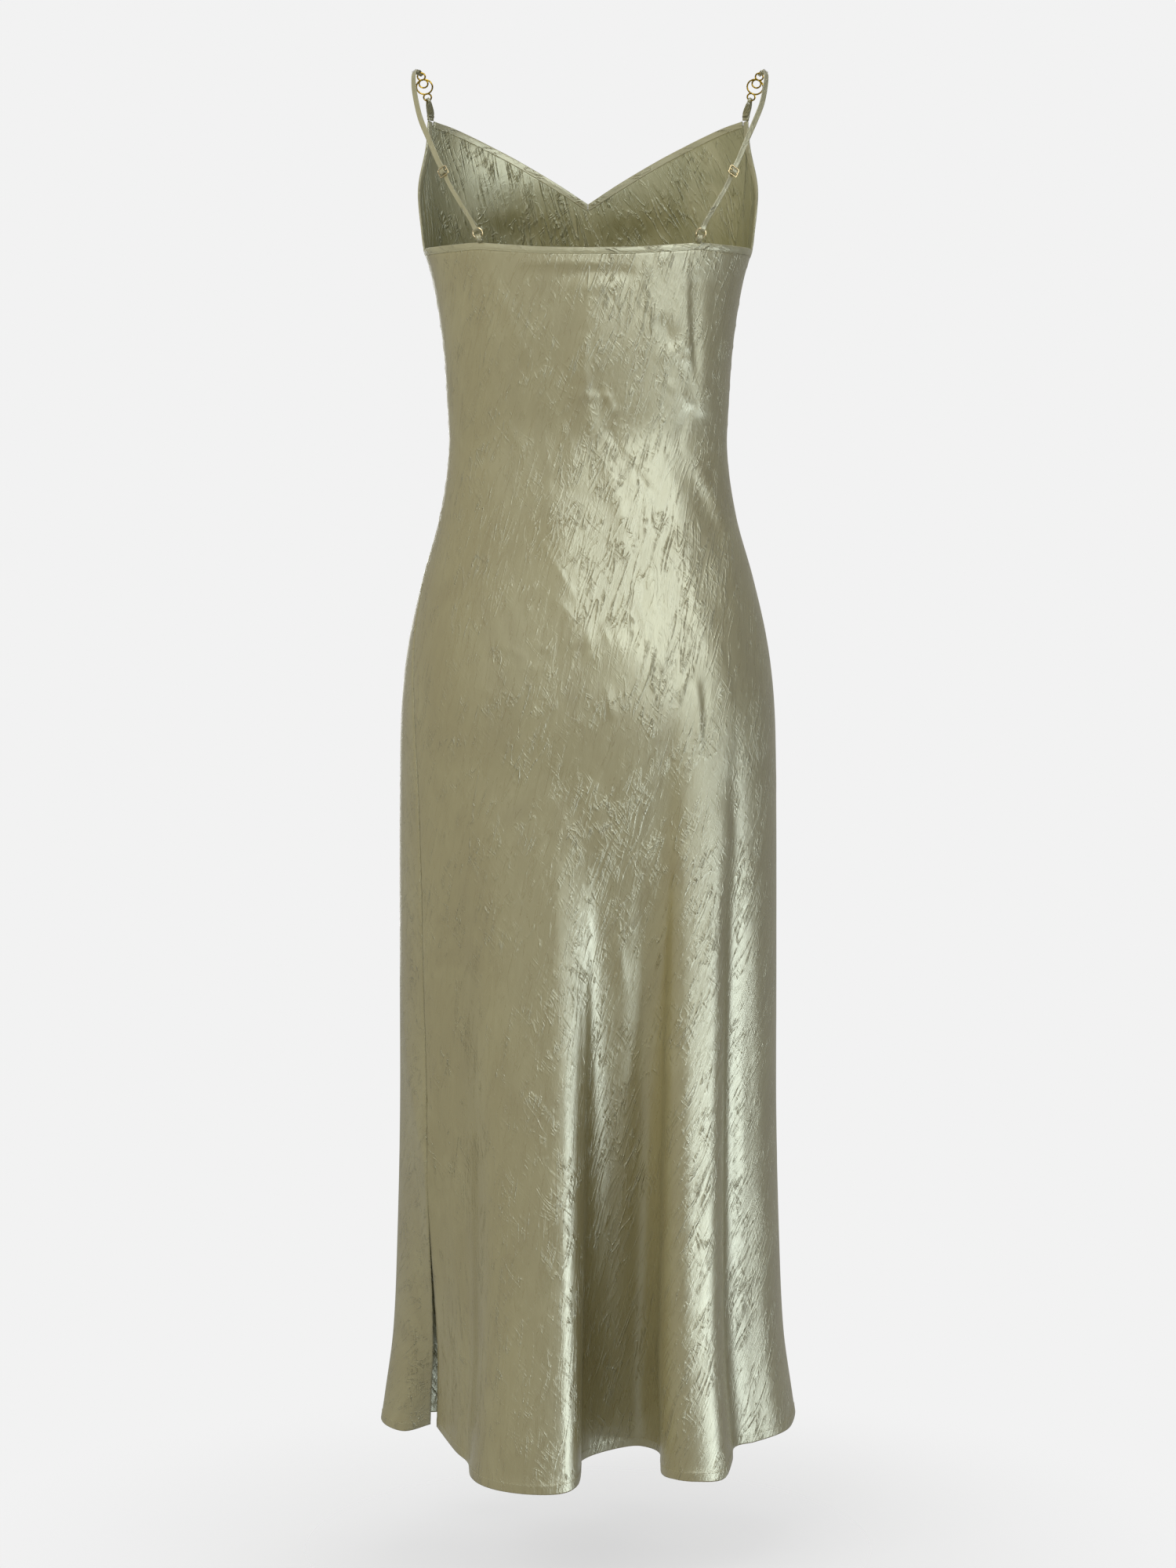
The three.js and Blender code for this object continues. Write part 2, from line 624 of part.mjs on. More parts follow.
// Flat tape that follows a list of { go, lift, half }: distance along the strap, height off its
// middle line and half of its width
function tape(curve, steps) {
  const sections = steps.map(({ go, lift, half }, index) => {
    const before = steps[Math.max(index - 1, 0)];
    const after = steps[Math.min(index + 1, steps.length - 1)];
    const run = after.go - before.go;
    const rise = after.lift - before.lift;
    const size = Math.hypot(run, rise);
    const { at, along, out, across } = curve.frame(go);
    const middle = at.clone().addScaledVector(out, lift);
    const thick = out.clone().multiplyScalar(run / size).addScaledVector(along, -rise / size);
    const corner = (wide, high) => {
      const spot = middle.clone().addScaledVector(across, wide * half);
      return spot.addScaledVector(thick, (high * TAPE.thick) / 2);
    };
    return [corner(-1, -1), corner(1, -1), corner(1, 1), corner(-1, 1)];
  });
  return loft(sections);
}

// Half turn of a tape round a wire, from below it to above it on the side that `towards` names
function halfTurn(go, radius, towards, half) {
  const steps = [];
  for (let step = 0; step <= 6; step += 1) {
    const angle = -Math.PI / 2 + (Math.PI * step) / 6;
    steps.push({
      go: go + towards * radius * Math.cos(angle),
      lift: radius * Math.sin(angle),
      half,
    });
  }
  return steps;
}

// Radius of a tape's loop round the curved wire of a ring or an eyelet
function loopRadius(ringRadius, wire, half) {
  const reach = half + wire;
  const bow = ringRadius - Math.sqrt(ringRadius * ringRadius - reach * reach);
  return wire + bow + GAP + TAPE.thick / 2;
}

const placeIn = (mesh, { at, along, out, across }) => {
  mesh.position.copy(at);
  const turned = new THREE.Matrix4().makeBasis(across, along, out);
  mesh.quaternion.setFromRotationMatrix(turned);
};

const torus = (radius, wire, across, up, steps) => {
  return new THREE.TorusGeometry(radius, wire, WIRE_SIDES, steps).translate(across, up, 0);
};

// Gold link between the two straps: an open round of wire with a smaller round inside it
function linkGeometry() {
  const touching = LINK.radius + LINK.eyelet - LINK.wire / 4;
  return join([
    torus(LINK.radius, LINK.wire, 0, 0, 24),
    torus(LINK.inner, LINK.wire, 0, LINK.inner - LINK.radius, 18),
    torus(LINK.eyelet, LINK.wire, 0, touching, 16),
    torus(LINK.eyelet, LINK.wire, 0, -touching, 16),
  ]);
}

// Slider: a rounded frame of wire with a bar across its middle
function sliderGeometry() {
  const { half, pitch, wire, corner } = SLIDER;
  const outline = [];
  [[1, 1], [-1, 1], [-1, -1], [1, -1]].forEach(([right, up], index) => {
    for (let step = 0; step <= 3; step += 1) {
      const angle = (Math.PI / 2) * (index + step / 3);
      outline.push(new THREE.Vector2(
        right * (half - corner) + corner * Math.cos(angle),
        up * (pitch - corner) + corner * Math.sin(angle),
      ));
    }
  });
  const wireSection = (at, outwards) => {
    const section = [];
    for (let side = 0; side < WIRE_SIDES; side += 1) {
      const angle = (2 * Math.PI * side) / WIRE_SIDES;
      const reach = wire * Math.cos(angle);
      section.push(new THREE.Vector3(
        at.x + outwards.x * reach,
        at.y + outwards.y * reach,
        wire * Math.sin(angle),
      ));
    }
    return section;
  };
  const count = outline.length;
  const frame = loft(outline.map((at, index) => {
    const next = outline[(index + 1) % count];
    const before = outline[(index + count - 1) % count];
    const run = next.clone().sub(before).normalize();
    return wireSection(at, new THREE.Vector2(run.y, -run.x));
  }), true);
  const upright = new THREE.Vector2(0, 1);
  const bar = loft([-half, half].map((x) => wireSection(new THREE.Vector2(x, 0), upright)));
  return join([frame, bar]);
}

["left", "right"].forEach((side) => {
  const sign = side === "left" ? -1 : 1;
  const spot = (row) => new THREE.Vector3(sign * row[side], row.forward, -row.down);

  // Seat of the ring's tab in the middle of the back neck binding's top edge
  const seatDown = read(BACK_EDGE, "across", "down", STRAP_SEAT[side]);
  const seatPlace = { angle: angleAcross(STRAP_SEAT[side], seatDown, false), down: seatDown };
  const seatOut = normalAt(seatPlace);
  const seat = pointAt(seatPlace).addScaledVector(seatOut, -CLOTH / 2);
  seat.x *= sign;
  const top = spot(LINK_TOP);
  const foot = spot(LINK_FOOT);
  const axis = foot.clone().sub(top).normalize();
  const wireTop = top.clone().addScaledVector(axis, -LINK.eyelet);
  const back = strapCurve([wireTop, ...STRAP_ROUTE.map(spot), seat], side);
  const ringFoot = back.length - RING.tab;
  const ringTop = ringFoot - 2 * RING.radius;
  const slider = ringTop - SLIDER.fromRing;

  // Long strap: sewn end under the link's eyelet, over the shoulder, behind and over the bars
  // of the slider, round the ring and back up to the slider's middle bar
  const eyeletLoop = loopRadius(LINK.eyelet, LINK.wire, TAPE.loopHalf);
  const ringLoop = loopRadius(RING.radius, RING.wire, TAPE.thinHalf);
  const barLoop = SLIDER.wire + GAP * 0.7 + TAPE.thick / 2;
  const behindBar = -(SLIDER.wire + GAP + TAPE.thick / 2);
  const overLoop = barLoop + LAYER;
  const arch = [-30, -5, 25, 57, 90, 123, 155, 185, 210].map((angle) => ({
    go: slider - overLoop * Math.cos(radians(angle)),
    lift: overLoop * Math.sin(radians(angle)),
    half: TAPE.half - 0.3,
  })).filter(({ lift }) => lift > -1);
  const wide = TAPE.half;
  const thin = TAPE.thinHalf;
  const { neck, ease, far } = LOOP;
  const onBar = SLIDER.pitch + BAR_GRIP.outside;
  const inBar = SLIDER.pitch - BAR_GRIP.inside;
  const steps = [
    { go: LOOP.sewn, lift: -0.6 - LAYER, half: wide },
    { go: LOOP.wide, lift: -0.5 - LAYER, half: wide },
    { go: neck, lift: -1.1 - LAYER, half: TAPE.loopHalf },
    ...halfTurn(0, eyeletLoop + GAP, -1, TAPE.loopHalf),
    { go: neck, lift: 1.3, half: TAPE.loopHalf },
    { go: LOOP.wide, lift: 0, half: wide },
  ];
  for (let go = LOOP.sewn; go < slider - LOOP.wide; go += ease) {
    steps.push({ go, lift: 0, half: wide });
  }
  steps.push(
    { go: slider - ease + 1, lift: -0.7, half: wide },
    { go: slider - onBar, lift: behindBar, half: wide - 0.2 },
    { go: slider - inBar, lift: behindBar, half: wide - 0.3 },
    ...arch,
    { go: slider + inBar, lift: behindBar, half: thin },
    { go: slider + onBar, lift: behindBar, half: thin },
    { go: slider + ease, lift: -0.4, half: thin },
  );
  for (let go = slider + 2 * ease; go < ringTop - ease; go += LOOP.wide) {
    steps.push({ go, lift: 0, half: thin });
  }
  steps.push({ go: ringTop - neck, lift: ringLoop * 0.35, half: thin });
  steps.push(...halfTurn(ringTop, ringLoop, 1, thin).reverse());
  steps.push({ go: ringTop - neck, lift: -LAYER - ringLoop * 0.25, half: thin });
  for (let go = ringTop - far; go > slider + far; go -= LOOP.wide) {
    steps.push({ go, lift: -LAYER, half: thin });
  }
  steps.push(
    { go: slider + ease, lift: -0.4 - LAYER, half: thin },
    { go: slider + onBar, lift: behindBar - LAYER, half: thin },
    { go: slider + inBar - 0.6, lift: behindBar - LAYER, half: thin },
    { go: slider + 1.3, lift: -barLoop - 0.45, half: thin },
    ...halfTurn(slider, barLoop, -1, thin),
    { go: slider + 0.5, lift: barLoop - 0.12, half: thin },
  );
  addPiece("back_strap_" + side, tape(back, steps), satinStrip);

  const frame = addPiece(
    "strap_slider_" + side,
    sliderGeometry(),
    paleGold,
  );
  placeIn(frame, back.frame(slider));
  const ring = addPiece("strap_ring_" + side, torus(RING.radius, RING.wire, 0, 0, 24), paleGold);
  placeIn(ring, back.frame((ringTop + ringFoot) / 2));

  // Folded tab that ties the ring to the back neck binding
  const tabLoop = loopRadius(RING.radius, RING.wire, TAPE.tabHalf);
  const tabEnd = back.length - 3.6 * GAP;
  const tabHalf = TAPE.tabHalf;
  const tabSteps = [
    { go: tabEnd, lift: -LAYER / 2 - 0.1, half: tabHalf },
    { go: ringFoot + 2.5, lift: -tabLoop + 0.7, half: tabHalf },
    ...halfTurn(ringFoot, tabLoop, -1, tabHalf),
    { go: ringFoot + 2.5, lift: tabLoop - 0.7, half: tabHalf },
    { go: tabEnd, lift: LAYER / 2 + 0.1, half: tabHalf },
  ];
  addPiece("strap_tab_" + side, tape(back, tabSteps), satinStrip);

  // Link and the short strap that hangs it on the peak of the front
  const peakPlace = armholeEdge[ARMHOLE_STEPS];
  const peakInner = armholeInner[ARMHOLE_STEPS];
  const peakMiddle = pointAt(peakPlace).lerp(pointAt(peakInner), 0.5);
  peakMiddle.addScaledVector(normalAt(peakPlace), -CLOTH / 2);
  peakMiddle.x *= sign;
  const wireFoot = foot.clone().addScaledVector(axis, LINK.eyelet);
  const front = strapCurve([wireFoot, ...PEAK_ROUTE.map(spot), peakMiddle], side);
  const linkMesh = addPiece("strap_link_" + side, linkGeometry(), gold);
  const linkAcross = back.frame(0).across;
  linkAcross.addScaledVector(axis, -linkAcross.dot(axis)).normalize();
  placeIn(linkMesh, {
    at: top.clone().lerp(foot, 0.5),
    along: axis,
    out: linkAcross.clone().cross(axis),
    across: linkAcross,
  });
  const end = front.length - 3 * GAP;
  const legEnd = LAYER / 2 + 0.15;
  const frontSteps = [
    { go: end, lift: -legEnd, half: TAPE.peakHalf },
    { go: end - ease, lift: -legEnd, half: TAPE.peakHalf },
    { go: 9, lift: -legEnd, half: 3 },
    { go: 4, lift: -legEnd - 0.5, half: 2.3 },
    ...halfTurn(0, eyeletLoop, -1, TAPE.loopHalf),
    { go: 4, lift: legEnd + 0.5, half: 2.3 },
    { go: 9, lift: legEnd, half: 3 },
    { go: end - ease, lift: legEnd, half: TAPE.peakHalf },
    { go: end, lift: legEnd, half: TAPE.peakHalf },
  ];
  addPiece("front_strap_" + side, tape(front, frontSteps), satinStrip);
});

export default dress;
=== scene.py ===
# %% [markdown]
# A long slip dress of crinkled satin, cut on the bias: a V neck in front, a low straight back,
# thin adjustable straps with metal fittings, and a slit in the left side seam. It hangs in the
# shape it takes when worn, with nobody in it, and the camera looks at its back.
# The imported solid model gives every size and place. Here each solid is replaced by a thin,
# finely shaped piece that lies on the same form, and gets a material made from nodes.
# Lengths in the tables are millimetres. +Z is up, +Y is the front and +X the wearer's right.

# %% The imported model
import math

import bmesh
import bpy
import numpy as np
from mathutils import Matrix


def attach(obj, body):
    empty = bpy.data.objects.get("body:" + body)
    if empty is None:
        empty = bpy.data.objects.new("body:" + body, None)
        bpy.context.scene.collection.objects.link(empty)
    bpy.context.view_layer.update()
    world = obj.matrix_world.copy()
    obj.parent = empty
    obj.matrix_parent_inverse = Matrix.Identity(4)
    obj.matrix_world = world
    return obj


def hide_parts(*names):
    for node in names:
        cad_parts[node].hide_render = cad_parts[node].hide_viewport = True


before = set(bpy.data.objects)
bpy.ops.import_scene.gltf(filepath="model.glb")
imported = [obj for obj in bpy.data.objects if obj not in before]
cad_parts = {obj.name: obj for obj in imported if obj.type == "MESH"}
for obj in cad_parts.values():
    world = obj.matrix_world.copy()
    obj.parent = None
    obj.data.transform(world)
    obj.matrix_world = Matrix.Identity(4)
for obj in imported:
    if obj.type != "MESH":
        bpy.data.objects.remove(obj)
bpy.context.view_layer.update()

MM = 0.001
print("nodes to dress:", len(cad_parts))

# %% [markdown]
# The photograph was taken square to the back, from the height of the hips. A long lens 2.4 m
# away gives the right perspective on the hem's waves.

# %% Camera
CAMERA_AWAY = 2400
CAMERA_DOWN = 644.7
PICTURE_HEIGHT = 1420  # what the camera sees at the middle of the dress
SENSOR = 36


def add_camera():
    data = bpy.data.cameras.new("camera")
    data.sensor_width = SENSOR
    data.lens = SENSOR * CAMERA_AWAY / PICTURE_HEIGHT
    camera = bpy.data.objects.new("camera", data)
    camera.location = (0, -CAMERA_AWAY * MM, -CAMERA_DOWN * MM)
    camera.rotation_euler = (math.radians(90), 0, 0)
    bpy.context.scene.collection.objects.link(camera)
    bpy.context.scene.camera = camera
    return camera


camera = add_camera()
print("lens, mm:", round(camera.data.lens, 2))

# %% [markdown]
# ## Form of the dress
# A pattern cutter thinks of a dress as rings round the body, one for each level. The tables
# hold those rings, and the wavy line of the hem, and a smooth curve joins their rows. The bias
# cut turns both side seams towards the back on the left and to the front on the right.


# %% Tables of the form
def table(columns, rows):
    """Columns of a table by name, each as an array."""
    return dict(zip(columns.split(), np.array(rows, dtype=float).T))


# level, half the width, depth in front and behind, and how far each side seam has turned (degrees)
SECTIONS = table("down half front back left_seam right_seam", [
    (30, 160.5, 104, 92, 2, -2),
    (73, 161, 101, 92, 2, -2),
    (103, 158.5, 105, 92, 2, -2),
    (130, 153.7, 113, 92, 2, -2),
    (163, 148, 124, 92, 2, -2),
    (180, 143, 126, 92, 2, -2),
    (204, 137.7, 122, 90, 2, -2),
    (250, 131, 109, 86, 2.4, -1),
    (300, 127.4, 98, 80, 3, 0),
    (346, 126, 92, 76, 4, 2),
    (403, 134, 96, 84, 7, 5),
    (460, 149.5, 103, 102, 12, 11),
    (517, 162, 109, 118, 19, 18),
    (574, 168.3, 113, 126, 25.5, 25),
    (660, 170, 115, 124, 30.5, 30.5),
    (800, 170, 117, 119, 33.5, 33.5),
    (943, 169.7, 120, 116, 35.5, 35.5),
    (1056, 172, 123, 115, 36, 36),
    (1140, 175.5, 126, 115, 36, 36),
    (1198, 183, 128, 116, 36, 36),
    (1240, 189, 129, 116, 36, 36),
])
# turn (degrees), place, drop below the level hem, and the level where the wave starts
HEM = table("turn x y drop start", [
    (216, -135, -35, 0, 985),
    (224, -116, -82, 10, 860),
    (232, -104, -103, 15, 760),
    (239, -100, -140, 17, 660),
    (244, -91, -163, 18, 640),
    (250, -73, -180, 19, 640),
    (257, -46, -188, 20, 640),
    (263, -21, -184, 20, 640),
    (267, -9, -170, 17, 640),
    (270, -6, -146, 12, 640),
    (273, -7, -106, 14, 640),
    (277, 6, -82, 13, 640),
    (283, 34, -67, 10, 620),
    (288, 50, -67, 10, 600),
    (292, 63, -88, 11, 580),
    (296, 63, -134, 16, 560),
    (300, 74, -154, 16, 560),
    (304.5, 92, -158, 17, 560),
    (309, 115, -146, 18, 560),
    (313, 124, -118, 10, 560),
    (317, 128, -78, 8, 580),
    (323, 147, -59, 8, 620),
    (333, 170, -38, 6, 640),
    (344, 182, -14, 5, 660),
    (360, 189, 20, 0, 700),
    (374, 187, 42, 2, 700),
    (384, 178, 66, 4, 700),
    (392, 169, 90, 8, 680),
    (399, 156, 107, 12, 660),
    (406, 138, 111, 13, 640),
    (412, 121, 102, 10, 640),
    (417, 110, 87, 8, 640),
    (422, 96, 83, 8, 640),
    (427, 84, 95, 9, 640),
    (431, 77, 120, 12, 640),
    (436, 64, 142, 17, 640),
    (441, 44, 152, 20, 640),
    (446, 23, 148, 18, 640),
    (450, 10, 132, 14, 640),
    (454, 0, 111, 12, 640),
    (459, -15, 99, 11, 640),
    (464, -34, 98, 11, 640),
    (469, -49, 110, 12, 640),
    (473, -57, 134, 14, 640),
    (478, -71, 153, 18, 640),
    (483, -92, 160, 20, 640),
    (488, -112, 151, 20, 640),
    (492, -125, 134, 19, 640),
    (497, -137, 113, 17, 640),
    (503, -146, 90, 11, 640),
    (508, -142, 66, 8, 640),
    (514, -137, 47, 6, 660),
    (522, -151, 36, 4, 680),
    (532, -176, 33, 2, 720),
    (542, -188, 18, 3, 760),
    (552, -183, 0, 7, 820),
    (563, -165, -15, 9, 900),
    (576, -142, -10, 4, 985),
])
print("rings:", len(SECTIONS["down"]), "points of the hem:", len(HEM["turn"]))

# %% Edges of the garment and routes of the straps
ARMHOLE_EDGE = table("down forward", [
    (32, 48), (55, 45.5), (73, 40), (99, 28), (111, 23), (130, 15), (150, 6), (163.5, -5),
])
NECK_EDGE = table("across down", [
    (0, 97), (31, 77.5), (67, 57.5), (94, 45), (113, 37.5), (128, 33), (143, 31),
])
BACK_EDGE = table("across down", [
    (0, 177), (40, 176), (80, 172), (98, 169.5), (120, 168.5), (137, 166.5), (148, 163.5),
])
STRAP_ROUTE = table("left right forward down", [
    (156.4, 160, 2, -1.4),
    (157.4, 161, -6, 4),
    (157, 160, -13, 14.5),
    (153.3, 155.5, -29, 36),
    (148.7, 149, -39, 53.6),
    (141.5, 141.5, -48, 71.6),
    (134, 134, -54, 90.2),
    (122.8, 123.5, -63, 115),
    (111.8, 113, -71, 135),
    (98.6, 100.5, -80, 158),
])
STRAP_SEAT = {"left": 94, "right": 96.5}
LINK_ENDS = table("left right forward down", [(151.8, 156, 13.5, 0.6), (147, 149.4, 27.4, 15.6)])
PEAK_ROUTE = table("left right forward down", [(146, 147.6, 38.5, 21.5), (145.4, 146.2, 48.6, 26)])
print("straps pass", STRAP_SEAT, "mm from the middle of the back")

# %% Smooth reading of a table
HEM_DOWN = 1218  # level of the hem before its drop
WAVE_GROWTH = 1.25  # power of a wave's growth from its start to the hem
SQUARENESS = 2.3  # power of the rings: 2 would be an ellipse
SEAM_TURN = {"left": 216, "right": 396}
BUST = {"fullness": 9, "across": 70, "width": 42, "down": 150, "height": 55}


def soft_step(start, end, leave, arrive, t):
    """Between two values or points: leaves and arrives with the given slopes."""
    blend = t * t * (3 - 2 * t)
    bend = t * (t - 1) * (leave * (t - 1) + arrive * t)
    return start + (end - start) * blend + bend


def read(rows, key, column, place):
    """Value of a column at places between its rows, on a curve that bends softly at each row."""
    keys, values = rows[key], rows[column]
    at = np.clip(place, keys[0], keys[-1])
    low = np.clip(np.searchsorted(keys, at, side="left") - 1, 0, len(keys) - 2)
    before = np.maximum(low - 1, 0)
    after = np.minimum(low + 2, len(keys) - 1)
    width = keys[low + 1] - keys[low]
    leave = (values[low + 1] - values[before]) / (keys[low + 1] - keys[before]) * width
    arrive = (values[after] - values[low]) / (keys[after] - keys[low]) * width
    return soft_step(values[low], values[low + 1], leave, arrive, (at - keys[low]) / width)


def signed_power(value, power):
    return np.sign(value) * np.abs(value) ** power


def body_point(angle, down):
    """Point of the plain body: angle 0 at the wearer's right, 90 in front, 270 behind."""
    cos, sin = np.cos(np.radians(angle)), np.sin(np.radians(angle))
    half = read(SECTIONS, "down", "half", down)
    front, back = (read(SECTIONS, "down", side, down) for side in ("front", "back"))
    x = half * signed_power(cos, 2 / SQUARENESS)
    sideways = (np.abs(x) - BUST["across"]) / BUST["width"]
    upright = (down - BUST["down"]) / BUST["height"]
    fullness = BUST["fullness"] * np.exp(-sideways ** 2 - upright ** 2) * np.maximum(sin, 0)
    depth = np.where(sin > 0, front, back)
    y = depth * signed_power(sin, 2 / SQUARENESS) + fullness
    return np.stack([x, y, -down + 0 * x], axis=-1)


def bias_shift(turn, down):
    """How far the bias cut has turned the cloth back at a level above the hem, in degrees."""
    cos = np.cos(np.radians(turn - SEAM_TURN["left"]))
    left, right = (read(SECTIONS, "down", side, down) for side in ("left_seam", "right_seam"))
    return (SEAM_TURN["left"] - 180 - np.where(cos > 0, left, right)) * cos ** 2


def hem_down(turn):
    return HEM_DOWN + read(HEM, "turn", "drop", turn)


def cloth_point(turn, down):
    """Point of the cloth, with the waves that grow from the hips down to the hem."""
    point = body_point(turn - bias_shift(turn, down), down)
    start, foot = read(HEM, "turn", "start", turn), hem_down(turn)
    share = np.clip((down - start) / (foot - start), 0, 1) ** WAVE_GROWTH
    plain = body_point(turn, foot)
    point[..., 0] += share * (read(HEM, "turn", "x", turn) - plain[..., 0])
    point[..., 1] += share * (read(HEM, "turn", "y", turn) - plain[..., 1])
    return point


def unit(vectors):
    return vectors / np.maximum(np.linalg.norm(vectors, axis=-1, keepdims=True), 1e-9)


def cloth_normal(turn, down, surface=cloth_point):
    """Direction away from the body at a place on the cloth."""
    round_it = surface(turn + 0.05, down) - surface(turn - 0.05, down)
    fall = surface(turn, down + 0.5) - surface(turn, down - 0.5)
    return unit(np.cross(fall, round_it))


def walked_along(line):
    """Length walked from the start of a line of points to each of them."""
    steps = np.linalg.norm(np.diff(line, axis=0), axis=1)
    return np.concatenate([[0], np.cumsum(steps)])


def spots_along(line, walked, places):
    """Points at given lengths along a line."""
    return np.stack([np.interp(places, walked, line[:, axis]) for axis in range(3)], axis=-1)


hem_line = cloth_point(HEM["turn"], hem_down(HEM["turn"]))
print("length round the hem, m:", round(walked_along(hem_line)[-1] * MM, 2))
